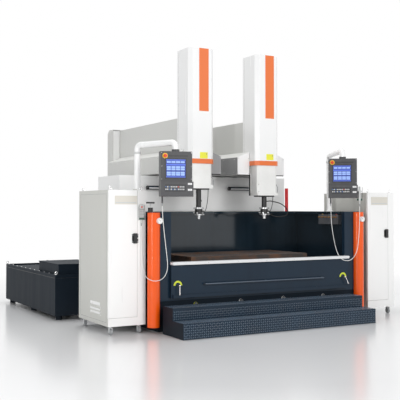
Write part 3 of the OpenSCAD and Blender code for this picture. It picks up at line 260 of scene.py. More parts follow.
def paint_group():
    group, given = new_group(
        "sprayed paint", Dust=(0.45, 0.43, 0.40, 1), Drift=0.1, Runs=0.1, Dust_amount=0.2,
        Dust_height=0.5, Gloss=0.3, Peel_scale=180.0)
    vector = given["Vector"]
    slow = noise_in(group, vector, 1.3, 4)
    runs = noise_in(group, vector, 9.0, 5, (1, 1, 0.09))
    speck = noise_in(group, vector, 60.0, 3)
    peel = noise_in(group, vector, given["Peel scale"], 2)
    change = maths(group, "ADD", swing(group, slow, given["Drift"]),
                   swing(group, runs, given["Runs"]))
    height = node(group, "ShaderNodeSeparateXYZ", vector).outputs["Z"]
    low = maths(group, "SUBTRACT", 1.0, maths(group, "DIVIDE", height, given["Dust height"]), True)
    speckled = maths(group, "MULTIPLY", maths(group, "MULTIPLY", low, low), speck)
    dusty = maths(group, "MULTIPLY", speckled, given["Dust amount"], True)
    colour = blend_of(group, dusty, toned(group, given["Colour"], change), given["Dust"])
    uneven = maths(group, "ADD", swing(group, runs, 0.16), dusty)
    node(group, "NodeGroupOutput", Colour=colour, Height=peel,
         Roughness=maths(group, "ADD", given["Gloss"], uneven, True))
    return group


PAINT = paint_group()
print("shader group:", PAINT.name)

# %% [markdown]
# The second group is bare metal: fine lines left by the tool in one direction, a slow change of
# tone, and stains of oil that also change how the metal shines.

# %% Shader group: worked metal


def metal_group():
    group, given = new_group("worked metal", Stain=(0.2, 0.13, 0.08, 1), Stained=0.2,
                             Lines_scale=400.0, Lines=0.15, Gloss=0.3)
    lines = noise_in(group, given["Vector"], given["Lines scale"], 2, (0.02, 1, 1))
    stains = noise_in(group, given["Vector"], 5.0, 6)
    amount = patches(group, stains, 0.42, 3.2, given["Stained"])
    bright = toned(group, given["Colour"], swing(group, lines, given["Lines"]))
    colour = blend_of(group, amount, bright, given["Stain"])
    uneven = maths(group, "ADD", maths(group, "MULTIPLY", lines, given["Lines"]),
                   maths(group, "MULTIPLY", amount, 0.3))
    node(group, "NodeGroupOutput", Colour=colour, Height=lines,
         Roughness=maths(group, "ADD", given["Gloss"], uneven, True))
    return group


METAL = metal_group()
print("shader group:", METAL.name)

# %% [markdown]
# The third group is moulded plastic and rubber: a fine grain from the mould, scuffed lighter where
# hands and boots rub it.

# %% Shader group: moulded grain


def grain_group():
    group, given = new_group("moulded grain", Scuff=(0.5, 0.5, 0.5, 1), Scuffed=0.1,
                             Grain_scale=900.0, Gloss=0.5)
    grain = noise_in(group, given["Vector"], given["Grain scale"], 1)
    rub = noise_in(group, given["Vector"], 14.0, 6)
    amount = patches(group, rub, 0.5, 3.0, given["Scuffed"])
    node(group, "NodeGroupOutput", Height=grain,
         Colour=blend_of(group, amount, given["Colour"], given["Scuff"]),
         Roughness=maths(group, "ADD", given["Gloss"], swing(group, rub, 0.25), True))
    return group


GRAIN = grain_group()
print("shader group:", GRAIN.name)

# %% [markdown]
# A finish places one group in a material of its own, with its own colour and amounts. Coat,
# metalness and glow are the same all over a surface, so they are set on the shader's own sockets.

# %% How a finish is made
COAT_ROUGHNESS = 0.08


def finish(name, group, colour, bump=0.02, distance=0.001, metal=0.0, coat=0.0, glow=0.0,
           specular=0.5, **amounts):
    material = bpy.data.materials.new(name)
    material.use_nodes = True
    material.diffuse_color = (*colour, 1)
    tree = material.node_tree
    shader = tree.nodes["Principled BSDF"].inputs
    place = node(tree, "ShaderNodeTexCoord").outputs["Object"]
    effect = node(tree, "ShaderNodeGroup", place, (*colour, 1), settings={"node_tree": group},
                  **amounts).outputs
    bumps = node(tree, "ShaderNodeBump", Strength=bump, Distance=distance, Height=effect["Height"])
    for label, value in (("Base Color", effect["Colour"]), ("Roughness", effect["Roughness"]),
                         ("Normal", bumps.outputs["Normal"]), ("Metallic", metal),
                         ("Coat Weight", coat), ("Coat Roughness", COAT_ROUGHNESS),
                         ("Specular IOR Level", specular)):
        feed(tree, shader[label], value)
    if glow:
        shader["Emission Color"].default_value = (*colour, 1)
        shader["Emission Strength"].default_value = glow
    return material


def paint(name, colour, drift, gloss, dust=0.0, runs=0.0, **more):
    return finish(name, PAINT, colour, Drift=drift, Gloss=gloss, Dust_amount=dust, Runs=runs,
                  **more)


def worked(name, colour, metal, stained, gloss, **more):
    return finish(name, METAL, colour, metal=metal, Stained=stained, Gloss=gloss, **more)


def moulded(name, colour, scuffed, gloss, **more):
    return finish(name, GRAIN, colour, Scuffed=scuffed, Gloss=gloss, **more)


def lit_screen(name, colour, glow):
    return moulded(name, colour, 0.0, 0.2, bump=0.0, glow=glow)


# %% [markdown]
# Paints say their colour, drift of tone and gloss. Metals say their colour, metalness, stains and
# gloss. Moulded things say their colour, scuffs and gloss.

# %% Finishes
WHITE = paint("white paint", (0.93, 0.93, 0.92), 0.02, 0.30, dust=0.05, coat=0.25)
COVER_WHITE = paint("cover white", (0.95, 0.95, 0.945), 0.02, 0.25, coat=0.35)
BODY_WHITE = paint("body white", (0.95, 0.95, 0.94), 0.04, 0.38, dust=0.1)
# Painted shade: the cabinets' white paint, darkened for their side faces and rear louvres.
SHADED_CABINET_WHITE = paint("cabinet side", (0.63, 0.63, 0.59), 0.05, 0.42, dust=0.12, Dust_height=0.4)
GREY = paint("light grey paint", (0.68, 0.68, 0.655), 0.06, 0.40)
# Painted shade: a dark grey for saddle faces that lie in the shade between the two heads.
PAINTED_SHADE_GREY = paint("painted shade grey", (0.33, 0.33, 0.335), 0.06, 0.42, specular=0.3)
NAVY = paint("navy paint", (0.009, 0.023, 0.042), 0.5, 0.20, dust=0.04, runs=0.2, coat=0.08,
             bump=0.03, specular=0.22)
# Dull navy paint for the base, oil tank and filter box, also used as painted shade on the steps'
# side faces.
DULL_NAVY_AND_SHADE = paint("dull navy paint and painted shade", (0.008, 0.014, 0.022), 0.5, 0.55, dust=0.03, runs=0.2,
                  specular=0.1)
TANK_INSIDE = paint("wet tank wall", (0.014, 0.026, 0.038), 0.9, 0.12, runs=0.5, coat=0.3)
ORANGE = paint("orange gloss", (0.90, 0.105, 0.005), 0.05, 0.24, specular=0.25, coat=0.35)
STRIPE_ORANGE = paint("orange film", (0.85, 0.19, 0.045), 0.02, 0.35)
YELLOW = paint("yellow film", (0.88, 0.86, 0.06), 0.04, 0.4)
LIME = paint("lime print", (0.66, 0.74, 0.04), 0.05, 0.45)
PLATE = paint("beige plate", (0.72, 0.69, 0.62), 0.05, 0.35, runs=0.02)
SILVER_PAINT = paint("silver rail", (0.80, 0.81, 0.82), 0.06, 0.25, runs=0.02, coat=0.3)
RED = paint("red pipe", (0.80, 0.002, 0.012), 0.08, 0.28, coat=0.4)
BLACK = paint("black paint", (0.012, 0.012, 0.013), 0.3, 0.35, runs=0.1)
BAR = worked("slate bar", (0.10, 0.13, 0.17), 0.6, 0.1, 0.28)
QUILL = worked("satin quill", (0.88, 0.88, 0.86), 0.12, 0.12, 0.42, Stain=(0.38, 0.36, 0.33, 1),
               Lines=0.10)
STEEL = worked("ground steel", (0.55, 0.56, 0.57), 1.0, 0.15, 0.25)
BRIGHT = worked("plated steel", (0.80, 0.80, 0.80), 1.0, 0.04, 0.14, Lines=0.05)
IRON = worked("table iron", (0.055, 0.046, 0.042), 0.25, 0.75, 0.34,
              Stain=(0.20, 0.085, 0.035, 1), Lines=0.25, Lines_scale=160.0)
CAST = worked("machined block", (0.17, 0.18, 0.20), 0.5, 0.2, 0.4)
BRASS = worked("brass", (0.70, 0.36, 0.12), 1.0, 0.2, 0.3)
# Painted highlight: the lozenges of the chequer plate are lighter than the plate.
LOZENGE_HIGHLIGHT = worked("lozenges with painted highlight", (0.10, 0.15, 0.21), 0.3, 0.3, 0.3)
PANEL = moulded("panel plastic", (0.058, 0.058, 0.062), 0.05, 0.48, bump=0.08, distance=0.0006)
PANEL_DARK = moulded("keypad film", (0.028, 0.029, 0.032), 0.03, 0.38)
KEY_LIGHT = moulded("light keys", (0.62, 0.62, 0.62), 0.05, 0.45)
KEY_RED = moulded("red keys", (0.55, 0.10, 0.09), 0.05, 0.45)
KEY_BLUE = moulded("blue keys", (0.10, 0.17, 0.34), 0.05, 0.45)
SLOT_WHITE = moulded("white slots", (0.9, 0.9, 0.9), 0.02, 0.3)
STOP_RED = moulded("stop red", (0.72, 0.055, 0.02), 0.04, 0.25)
STOP_YELLOW = moulded("stop yellow", (0.90, 0.52, 0.03), 0.03, 0.3)
HANDSET = moulded("handset shell", (0.62, 0.63, 0.62), 0.08, 0.45)
HANDSET_TRIM = moulded("handset trim", (0.05, 0.06, 0.06), 0.1, 0.5)
GREEN = moulded("dark green cap", (0.025, 0.085, 0.06), 0.1, 0.4)
RUBBER = moulded("black rubber", (0.014, 0.014, 0.015), 0.15, 0.62, Scuff=(0.12, 0.12, 0.12, 1))
JACKET = moulded("white jacket", (0.86, 0.86, 0.84), 0.05, 0.4, bump=0.0)
GREY_JACKET = moulded("grey jacket", (0.30, 0.31, 0.32), 0.05, 0.4, bump=0.0)
TUBE = moulded("lamp tube", (0.92, 0.92, 0.92), 0.02, 0.25, bump=0.0)
DIAL = moulded("dial face", (0.93, 0.93, 0.92), 0.02, 0.25, bump=0.0)
SCREEN_PALE = lit_screen("screen pale", (0.14, 0.24, 0.62), 0.55)
SCREEN_BLUE = lit_screen("screen blue", (0.07, 0.12, 0.48), 0.6)
SCREEN_DEEP = lit_screen("screen deep blue", (0.03, 0.05, 0.24), 0.4)
SCREEN_WHITE = lit_screen("screen white", (0.26, 0.38, 0.75), 0.45)
print("finishes:", len(bpy.data.materials))

# %% [markdown]
# The solids come first. Most of them keep their shape and only need one paint.

# %% Solids of one finish


def paint_node(name, finishes, rule=None):
    solid = NODES[name]
    solid.data.materials.clear()
    for material in finishes:
        solid.data.materials.append(material)
    for face in solid.data.polygons:
        face.material_index = rule(face.center, face.normal) if rule else 0


def pair(*names):
    return [f"{name}_{side}" for name in names for side in SIDES]


PLAIN = {
    "x_rails": STEEL, "x_screw": STEEL, "caster_frames": STEEL, "corner_columns": ORANGE,
    "tank_gauges": WHITE, "oil_standpipe": RED, "oil_tank": DULL_NAVY_AND_SHADE, "filter_box": DULL_NAVY_AND_SHADE,
    "lifting_eyes": BRIGHT, "tank_door": NAVY, "door_top_rail": SILVER_PAINT, "grab_bar": BAR}
PLAIN_PAIRS = {
    "cabinet_door": WHITE, "door_handle": BLACK, "latch": BRIGHT, "arm": COVER_WHITE,
    "stop_button": STOP_RED, "handset": HANDSET, "ram": GREY, "panel": PANEL,
    "screen": SCREEN_DEEP, "cord": JACKET, "head_cables": RUBBER}
for name, material in PLAIN_PAIRS.items():
    PLAIN |= dict.fromkeys(pair(name), material)
for side in SIDES:
    PLAIN |= dict.fromkeys([f"{side}_front_wheels", f"{side}_rear_wheels"], GREY_JACKET)
for name, material in PLAIN.items():
    paint_node(name, [material])
print("solids of one finish:", len(PLAIN))

# %% [markdown]
# Some solids are made of two or three things, such as a tank that is wet inside. A rule looks at
# the middle and the direction of each face and says which of the node's finishes it gets.

# %% Solids of several finishes, places in metres
DOOR_FRONT = -0.850
HEAD_X, HEAD_FRONT, BAND_TOP = 0.5655, -0.086, 2.306
COVER_TOP, COVER_HALF = 3.897, 0.2065
QUILL_FRONT, QUILL_BACK, QUILL_SIDE, QUILL_FOOT = -0.070, 0.120, 0.1835, 0.013
BASE_FRONT = -0.7805
TANK_TOP, TANK_FLOOR, TANK_INNER_HALF, TANK_INNER_Y = 1.548, 0.419, 1.6885, (-0.745, 0.749)
TABLE_FOOT_TOP = 0.847
BODY_REAR, BODY_HALF, BODY_TOP = 1.627, 1.4725, 2.087
BODY_SHADOW_BAND, BODY_SHADOW_BAND_HALF = 0.075, 1.44
SADDLE_FRONT, SADDLE_PLATE, SADDLE_RUNNERS, SADDLE_SHADE_TOP = 0.103, 0.004, 2.1025, 2.40
LAMP_CAPS, LAMP_BACK = (0.3865, 1.0335), 0.7525
NIPPLES_X, PULL_ROD_TOP, MOTOR_Y, MOTOR_Z = 1.6255, 1.655, 2.4715, 3.5605
CHUCK_Y, CHUCK_FOOT, CHUCK_RING, CHUCK_BOLTS, BOLTS_TOP = (
    0.025, 1.5135, (1.587, 1.611), (0.057, 0.0745), 1.55)
SKIN = 0.0004


def tank_rule(c, n):
    if c.z > TANK_TOP + 0.001:
        return 2 if c.x < 0 else 3
    inside = TANK_INNER_Y[0] < c.y < TANK_INNER_Y[1] and abs(c.x) < TANK_INNER_HALF
    return int(inside and c.z > TANK_FLOOR)


# Slot 3 is painted shade. It covers the front of the left saddle's right cheek, and the right
# saddle's left side below SADDLE_SHADE_TOP, where shade falls between the heads.
def saddle_rule(side):
    def rule(c, n):
        if c.z < SADDLE_RUNNERS:
            return 2
        if c.y < SADDLE_FRONT + SADDLE_PLATE + 0.001:
            return 3 if side == "left" and from_head(c, side) > 0 and n.y < -0.9 else 1
        return 3 if side == "right" and n.x < -0.9 and c.z < SADDLE_SHADE_TOP else 0
    return rule


def quill_rule(side):
    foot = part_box(f"quill_{side}")[0].z + QUILL_FOOT
    return lambda c, n: int(c.y > QUILL_BACK + 0.0005 or abs(from_head(c, side)) > QUILL_SIDE
                            or c.z < foot)


def chuck_rule(side):
    def rule(c, n):
        reach = math.hypot(from_head(c, side), c.y - CHUCK_Y)
        bolt = c.z < BOLTS_TOP and CHUCK_BOLTS[0] < reach < CHUCK_BOLTS[1]
        return int(CHUCK_RING[0] < c.z < CHUCK_RING[1] or c.z < CHUCK_FOOT or bolt)
    return rule


def from_head(point, side):
    return point.x - SIDES[side] * HEAD_X


RULES = {
    "machine_base": ([DULL_NAVY_AND_SHADE, BLACK], lambda c, n: int(c.y < BASE_FRONT)),
    "work_tank": ([NAVY, TANK_INSIDE, BLACK, WHITE], tank_rule),
    "work_table": ([IRON, TANK_INSIDE], lambda c, n: int(c.z < TABLE_FOOT_TOP)),
    # The grey band along the top of the body is painted shadow under the rails and saddles.
    "machine_body": ([BODY_WHITE, GREY],
                     lambda c, n: int(BODY_TOP - BODY_SHADOW_BAND < c.z < BODY_TOP - 0.001
                                      and abs(c.x) < BODY_SHADOW_BAND_HALF)),
    # The steps' side faces get the darker dull navy as painted shade.
    "entry_steps": ([NAVY, DULL_NAVY_AND_SHADE], lambda c, n: int(abs(n.x) > 0.5)),
    "flushing_manifold": ([CAST, BRASS], lambda c, n: int(c.x < NIPPLES_X)),
    "work_lamps": ([BAR, BLACK], lambda c, n: int(
        not LAMP_CAPS[0] <= abs(c.x) <= LAMP_CAPS[1] or c.y > LAMP_BACK)),
    "drain_handle": ([BLACK, STEEL], lambda c, n: int(c.z < PULL_ROD_TOP))}
for side in SIDES:
    RULES |= {
        # The cabinets' side faces get their white paint darkened as painted shade.
        f"cabinet_{side}": ([WHITE, SHADED_CABINET_WHITE], lambda c, n: int(abs(n.x) > 0.5)),
        f"saddle_{side}": ([GREY, COVER_WHITE, STEEL, PAINTED_SHADE_GREY], saddle_rule(side)),
        f"y_drive_{side}": ([STEEL, BLACK], lambda c, n: int(c.y > MOTOR_Y)),
        f"head_cover_{side}": ([COVER_WHITE, STRIPE_ORANGE],
                               lambda c, n: int(c.z < BAND_TOP + 0.0005)),
        f"z_drive_{side}": ([CAST, BLACK], lambda c, n: int(c.z > MOTOR_Z)),
        f"quill_{side}": ([QUILL, BLACK], quill_rule(side)),
        f"chuck_{side}": ([BLACK, STEEL], chuck_rule(side))}
for name, (finishes, rule) in RULES.items():
    paint_node(name, finishes, rule)
print("solids of several finishes:", len(RULES))

# %% [markdown]
# Sheet metal is folded and castings are ground, so no edge on the machine is razor sharp.
# A weld closes the loose triangles of each solid, and a small bevel then gives each edge the thin
# highlight that tells the eye it is metal. The modifiers stay live, so the solids aren't changed.

# %% Soft edges on the solids
EDGES = {0.006: ["oil_tank", "filter_box", *pair("head_cover")],
         0.004: ["machine_body", "tank_door", "entry_steps", *pair("panel", "handset", "quill")],
         0.003: ["door_top_rail", "work_tank", "machine_base", "flushing_manifold",
                 *pair("cabinet", "cabinet_door", "saddle", "ram")],
         0.002: ["corner_columns", "work_lamps", *pair("chuck")]}
SHARP_ANGLE = 35


def bevelled(obj, width, angle=SHARP_ANGLE):
    bevel = obj.modifiers.new("edge", "BEVEL")
    bevel.width, bevel.segments, bevel.harden_normals = width, 2, True
    bevel.limit_method, bevel.angle_limit = "ANGLE", math.radians(angle)


def soften(obj, width):
    if "custom_normal" in obj.data.attributes:
        obj.data.attributes.remove(obj.data.attributes["custom_normal"])
    weld = obj.modifiers.new("weld", "WELD")
    weld.merge_threshold = 0.00002
    flat = obj.modifiers.new("flat faces", "DECIMATE")
    flat.decimate_type, flat.angle_limit, flat.delimit = "DISSOLVE", math.radians(0.5), {"MATERIAL"}
    bevelled(obj, width)
    for face in obj.data.polygons:
        face.use_smooth = True


for width, names in EDGES.items():
    for name in names:
        soften(NODES[name], width)
print("softened:", sum(len(n) for n in EDGES.values()))

# %% [markdown]
# New pieces are built from a few plain moves: a block, a rod between two points, and a flat ring or
# part of one. Each adds faces to one mesh, so a piece such as a dial with its pin is a single
# object.

# %% Moves for building a piece


def fill(faces, slot):
    for face in faces:
        face.material_index = slot


def faces_of(made):
    return {face for vert in made["verts"] for face in vert.link_faces}


def block(bm, low, high, at=Matrix(), slot=0):
    low, high = Vector(low), Vector(high)
    made = bmesh.ops.create_cube(bm, size=1, matrix=at @ Matrix.Translation((low + high) / 2)
                                 @ Matrix.Diagonal((*(high - low), 1)))
    fill(faces_of(made), slot)


def bars(u0, u1, v0, v1, width, inset=0.0):
    """The four bars of a frame, as low and high corners: foot, top, and sides between insets."""
    return (((u0, v0), (u1, v0 + width)), ((u0, v1 - width), (u1, v1)),
            *(((u, v0 + inset), (u + width, v1 - inset)) for u in (u0, u1 - width)))


def rod(bm, foot, tip, radius, tip_radius=None, sides=24, at=Matrix(), slot=0):
    foot, tip = Vector(foot), Vector(tip)
    along = tip - foot
    turn = along.to_track_quat("Z", "Y").to_matrix().to_4x4()
    made = bmesh.ops.create_cone(
        bm, cap_ends=True, segments=sides, radius1=radius,
        radius2=radius if tip_radius is None else tip_radius, depth=along.length,
        matrix=at @ Matrix.Translation((foot + tip) / 2) @ turn)
    fill(faces_of(made), slot)


def ring(bm, centre, facing, outer, inner, thick, start=0, sweep=360, slot=0):
    steps = max(8, int(sweep / 6))
    closed = sweep >= 360
    place = Matrix.Translation(centre) @ Vector(facing).to_track_quat("Z", "Y").to_matrix().to_4x4()
    rows = []
    for i in range(steps if closed else steps + 1):
        a = math.radians(start + sweep * i / steps)
        c, s = math.cos(a), math.sin(a)
        rows.append([bm.verts.new(place @ Vector((r * c, r * s, z)))
                     for r, z in ((outer, 0), (outer, thick), (inner, thick), (inner, 0))])
    faces = []
    for i in range(steps):
        a, b = rows[i], rows[(i + 1) % len(rows)]
        for k in range(4):
            faces.append(bm.faces.new((a[k], b[k], b[(k + 1) % 4], a[(k + 1) % 4])))
    if not closed:
        faces += [bm.faces.new(rows[0]), bm.faces.new(rows[-1][::-1])]
    fill(faces, slot)


def done(name, bm, body, finishes, edge=0.0):
    bmesh.ops.recalc_face_normals(bm, faces=bm.faces)
    mesh = bpy.data.meshes.new(name)
    bm.to_mesh(mesh)
    bm.free()
    for material in finishes:
        mesh.materials.append(material)
    placed(name, mesh, body, edge)


def placed(name, mesh, body, edge=0.0, smooth=SHARP_ANGLE):
    piece = bpy.data.objects.new(name.replace(" ", "_"), mesh)
    scene.collection.objects.link(piece)
    mesh.shade_smooth()
    mesh.set_sharp_from_angle(angle=math.radians(smooth))
    if edge:
        bevelled(piece, edge, smooth)
    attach(piece, body)


# %% [markdown]
# What repeats is made by Geometry Nodes: a tree sets one small shape on every point of a carrier
# mesh, turned to face the way that the point says. The same tree makes screws, lozenges and keys,
# because only the small shape differs.

# %% Trees that repeat a small shape


def repeat_tree(name, small_shape, sizes):
    tree = bpy.data.node_groups.new(name, "GeometryNodeTree")
    tree.is_modifier = True
    new_socket(tree, "INPUT", "Geometry", "Geometry")
    for label, value in sizes.items():
        new_socket(tree, "INPUT", label, "Float", value)
    new_socket(tree, "INPUT", "Finish", "Material")
    new_socket(tree, "OUTPUT", "Geometry", "Geometry")
    given = tree.nodes.new("NodeGroupInput").outputs
    facing, turn = (
        node(tree, "GeometryNodeInputNamedAttribute", settings={"data_type": kind}, Name=label)
        for kind, label in (("FLOAT_VECTOR", "facing"), ("FLOAT", "turn")))
    align = node(tree, "FunctionNodeAlignRotationToVector", settings={"axis": "Z"},
                 Vector=facing.outputs[0])
    spin = node(tree, "FunctionNodeAxisAngleToRotation", Axis=UP, Angle=turn.outputs[0])
    rotate = node(tree, "FunctionNodeRotateRotation", align.outputs[0], spin.outputs[0],
                  settings={"rotation_space": "LOCAL"})
    spread = node(tree, "GeometryNodeInstanceOnPoints", Points=given["Geometry"],
                  Instance=small_shape(tree, given), Rotation=rotate.outputs[0])
    real = node(tree, "GeometryNodeRealizeInstances", spread.outputs[0])
    coat = node(tree, "GeometryNodeSetMaterial", Geometry=real.outputs[0],
                Material=given["Finish"])
    node(tree, "NodeGroupOutput", Geometry=coat.outputs[0])
    return tree


def scaled(tree, shape, x, y, z):
    size = node(tree, "ShaderNodeCombineXYZ", x, y, z).outputs[0]
    return node(tree, "GeometryNodeTransform", Geometry=shape, Scale=size).outputs[0]


def turned(tree, shape, rotation):
    return node(tree, "GeometryNodeTransform", Geometry=shape, Rotation=rotation).outputs[0]


def cone(tree, sides, low, high, depth):
    return node(tree, "GeometryNodeMeshCone", Vertices=sides, Radius_Bottom=low, Radius_Top=high,
                Depth=depth).outputs["Mesh"]


def lozenge(tree, given):
    bead = node(tree, "GeometryNodeMeshUVSphere", Segments=8, Rings=4, Radius=1)
    return scaled(tree, bead.outputs["Mesh"], given["Half length"], given["Half width"],
                  given["Height"])


def screw_head(tree, given):
    join = node(tree, "GeometryNodeJoinGeometry")
    for shape in (cone(tree, 16, 1, 0.92, 0.25), cone(tree, 6, 0.74, 0.66, 0.9)):
        feed(tree, join.inputs[0], shape)
    return scaled(tree, join.outputs[0], given["Radius"], given["Radius"], given["Radius"])


def key_cap(tree, given):
    cap = turned(tree, cone(tree, 4, 0.7071, 0.6, 1), (0, 0, math.pi / 4))
    return scaled(tree, cap, given["Width"], given["Height"], given["Proud"])


def slat(tree, given):
    half_round = node(tree, "GeometryNodeMeshCylinder", Vertices=12, Radius=1, Depth=1)
    lying = turned(tree, half_round.outputs["Mesh"], (0, math.pi / 2, 0))
    return scaled(tree, lying, given["Length"], given["Half height"], given["Proud"])


TREES = {
    "lozenges": repeat_tree("chequer lozenges", lozenge,
                            {"Half length": 0.0130, "Half width": 0.0042, "Height": 0.0026}),
    "screws": repeat_tree("screw heads", screw_head, {"Radius": 0.006}),
    "keys": repeat_tree("key caps", key_cap, {"Width": 0.015, "Height": 0.009, "Proud": 0.004}),
    "slats": repeat_tree("slats", slat, {"Length": 0.2, "Half height": 0.008, "Proud": 0.006})}


def repeat(name, kind, points, body, material, slot_name=None, **sizes):
    """points: (place, facing, turn in radians) of each copy."""
    carrier = bpy.data.meshes.new(name + " places")
    carrier.from_pydata([p for p, _, _ in points], [], [])
    facing = carrier.attributes.new("facing", "FLOAT_VECTOR", "POINT")
    facing.data.foreach_set("vector", [x for _, f, _ in points for x in f])
    turn = carrier.attributes.new("turn", "FLOAT", "POINT")
    turn.data.foreach_set("value", [t for _, _, t in points])
    obj = bpy.data.objects.new(name + " carrier", carrier)
    scene.collection.objects.link(obj)
    modifier = obj.modifiers.new("repeat", "NODES")
    modifier.node_group = TREES[kind]
    values = {k.replace("_", " "): v for k, v in sizes.items()} | {"Finish": material}
    for item in TREES[kind].interface.items_tree:
        if item.item_type == "SOCKET" and item.in_out == "INPUT" and item.name in values:
            modifier[item.identifier] = values[item.name]
    seen_now = bpy.context.evaluated_depsgraph_get()
    mesh = bpy.data.meshes.new_from_object(obj.evaluated_get(seen_now), depsgraph=seen_now)
    bpy.data.objects.remove(obj)
    for attribute in ("facing", "turn"):
        if attribute in mesh.attributes:
            mesh.attributes.remove(mesh.attributes[attribute])
    mesh.name = name
    placed(name, mesh, body, smooth=40)


print("trees:", list(TREES))

# %% [markdown]
# The stripes, labels and nameplates are bare: plain colour on thin plates.
# The heads carry the most of them. A foot band, a wide stripe from mid height to the top, seams
# where the sheets meet, and screws along the edges make the tall covers read as folded sheet.

# %% Heads
STRIPE_HALF, STRIPES = 0.078, {"left": (2.991, 0.027), "right": (2.944, 0.030)}
LABELS = {"left": (-0.605, -0.477, 2.311, 2.401), "right": (0.533, 0.661, 2.320, 2.410)}

for side, sign in SIDES.items():
    x0, body = sign * HEAD_X, f"{side}_head"
    low, shift = STRIPES[side]
    bm = bmesh.new()
    block(bm, (x0 + shift - STRIPE_HALF, HEAD_FRONT - SKIN, low),
          (x0 + shift + STRIPE_HALF, HEAD_FRONT + 0.001, COVER_TOP - 0.001))
    done(f"{side} head stripe", bm, body, [STRIPE_ORANGE])
    a, b, low, high = LABELS[side]
    bm = bmesh.new()
    block(bm, (a, HEAD_FRONT - 0.0008, low), (b, HEAD_FRONT + 0.001, high))
    block(bm, (b - 0.022, HEAD_FRONT - 0.0011, high - 0.034),
          (b - 0.012, HEAD_FRONT, high - 0.016), slot=1)
    done(f"{side} head label", bm, body, [YELLOW, CAST])
    bm = bmesh.new()
    block(bm, (x0 - 0.152, HEAD_FRONT - 0.0003, BAND_TOP - 0.001),
          (x0 + 0.152, HEAD_FRONT + 0.001, BAND_TOP + 0.001))
    for s in ENDS:
        xs = x0 + s * COVER_HALF
        block(bm, (xs - SKIN, 0.258, 2.31), (xs + SKIN, 0.2594, 3.86))
    block(bm, (x0 - 0.19, 0.12, COVER_TOP - 0.001), (x0 + 0.19, 0.122, COVER_TOP + 0.0002))
    done(f"{side} head seams", bm, body, [BLACK])
    points = []
    for s in ENDS:
        points += [((x0 + s * (COVER_HALF + 0.0005), y, 2.52 + k * 0.165), (s, 0, 0), k)
                   for k in range(9) for y in (-0.012, 0.235)]
        points += [((x0 + s * 0.14, HEAD_FRONT - 0.0005, 2.345 + k * 0.155), TO_FRONT, k)
                   for k in range(5)]
    repeat(f"{side} head screws", "screws", points, body, COVER_WHITE, Radius=0.0055)

# %% [markdown]
# Each saddle has a screwed front plate on its two cheeks. A black rubber strip under the cheeks is
# partly the wiper that keeps dirt off the rails and partly painted shadow in the gap above the
# body, and a plain strip closes the front of the tail box on each side of the ram.

# %% Saddles and tails
CHEEK, CHEEK_FACE, CHEEK_Z = (0.2105, 0.4215), 0.4222, (2.103, 2.365)
INSET = 0.018

for side, sign in SIDES.items():
    x0, body = sign * HEAD_X, f"{side}_saddle"
    points, wipers_and_gap_shadow, strips = [], bmesh.new(), bmesh.new()
    for s in ENDS:
        a, b = sorted(x0 + s * reach for reach in CHEEK)
        points += [((x, SADDLE_FRONT - 0.001, z), TO_FRONT, x * 9)
                   for x in (a + INSET, b - INSET)
                   for z in (CHEEK_Z[0] + INSET, CHEEK_Z[1] - INSET)]
        points += [((x0 + s * CHEEK_FACE, y, z), (s, 0, 0), y * turn)
                   for y in (0.2, 0.5, 0.8, 1.1, 1.4, 1.7, 2.0, 2.3)
                   for z, turn in ((2.14, 7), (2.33, 5))]
        # Black rubber strip under each cheek: a wiper, and painted shadow in the gap under the
        # saddle.
        block(wipers_and_gap_shadow, (a + 0.006, SADDLE_FRONT + 0.006, 2.091),
              (b - 0.006, SADDLE_FRONT + 0.022, 2.104))
        a, b = sorted((x0 + s * 0.209, x0 + s * 0.329))
        block(strips, (a, 2.4085, 2.37), (b, 2.4105, 2.904))
    done(f"{side} saddle wipers", wipers_and_gap_shadow, body, [RUBBER], edge=0.002)
    repeat(f"{side} saddle screws", "screws", points, body, BRIGHT, Radius=0.007)
    done(f"{side} tail front strips", strips, body, [BODY_WHITE])

# %% [markdown]
# The quill's front sheet and its foot plate are screwed on.

# %% Quills
for side, sign in SIDES.items():
    x0, low = sign * HEAD_X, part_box(f"quill_{side}")[0].z
    points = [((x0 + s * 0.158, QUILL_FRONT - 0.0004, low + 0.07 + k * 0.11), TO_FRONT, k)
              for s in ENDS for k in range(2)]
    points += [((x0 + s * 0.1656, y, low + 0.02), (s, 0, 0), 0)
               for s in ENDS for y in (-0.02, 0.04, 0.1)]
    points += [((x0 + s * 0.15, QUILL_FRONT - 0.001, low + 0.02), TO_FRONT, 0)
               for s in (-1, -0.33, 0.33, 1)]
    repeat(f"{side} quill screws", "screws", points, f"{side}_quill", BRIGHT, Radius=0.006)
print("quill screws:", len(points), "each")

# %% [markdown]
# Chequer plate has raised lozenges that lean one way and then the other. The lozenges are painted
# lighter than the plate, a painted highlight where their raised tops catch the light.

# %% Chequer plate on the steps
STEP_X, STEP_DEPTH = (-1.5945, 1.4405), 0.279
STEPS = {"lower": (0.197, -1.455, 0.004), "upper": (0.354, -1.175, 0.2)}
PITCH = 0.030


def lozenges_on(name, v0, v1, place, facing):
    x0, x1 = STEP_X
    points = []
    for i in range(int((x1 - x0) / PITCH)):
        for j in range(int((v1 - v0) / PITCH)):
            u, v = x0 + (i + 0.7) * PITCH, v0 + (j + 0.6) * PITCH
            points.append((place(u, v), facing, math.pi / 4 + (i + j) % 2 * math.pi / 2))
    repeat(name, "lozenges", points, "machine", LOZENGE_HIGHLIGHT, slot_name="step_plate")


for name, (top, front, foot) in STEPS.items():
    lozenges_on(f"{name} tread lozenges", front, front + STEP_DEPTH,
                lambda u, v, z=top: (u, v, z), UP)
    lozenges_on(f"{name} riser lozenges", foot, top - 0.004,
                lambda u, v, y=front: (u, y, v), TO_FRONT)
print("steps:", list(STEPS))

# %% [markdown]
# The front door has printed dials behind its two latches. The drain plugs under it have printed
# rings, the first one lime and the others pale, and a black strip along the door's foot is painted
# shadow.

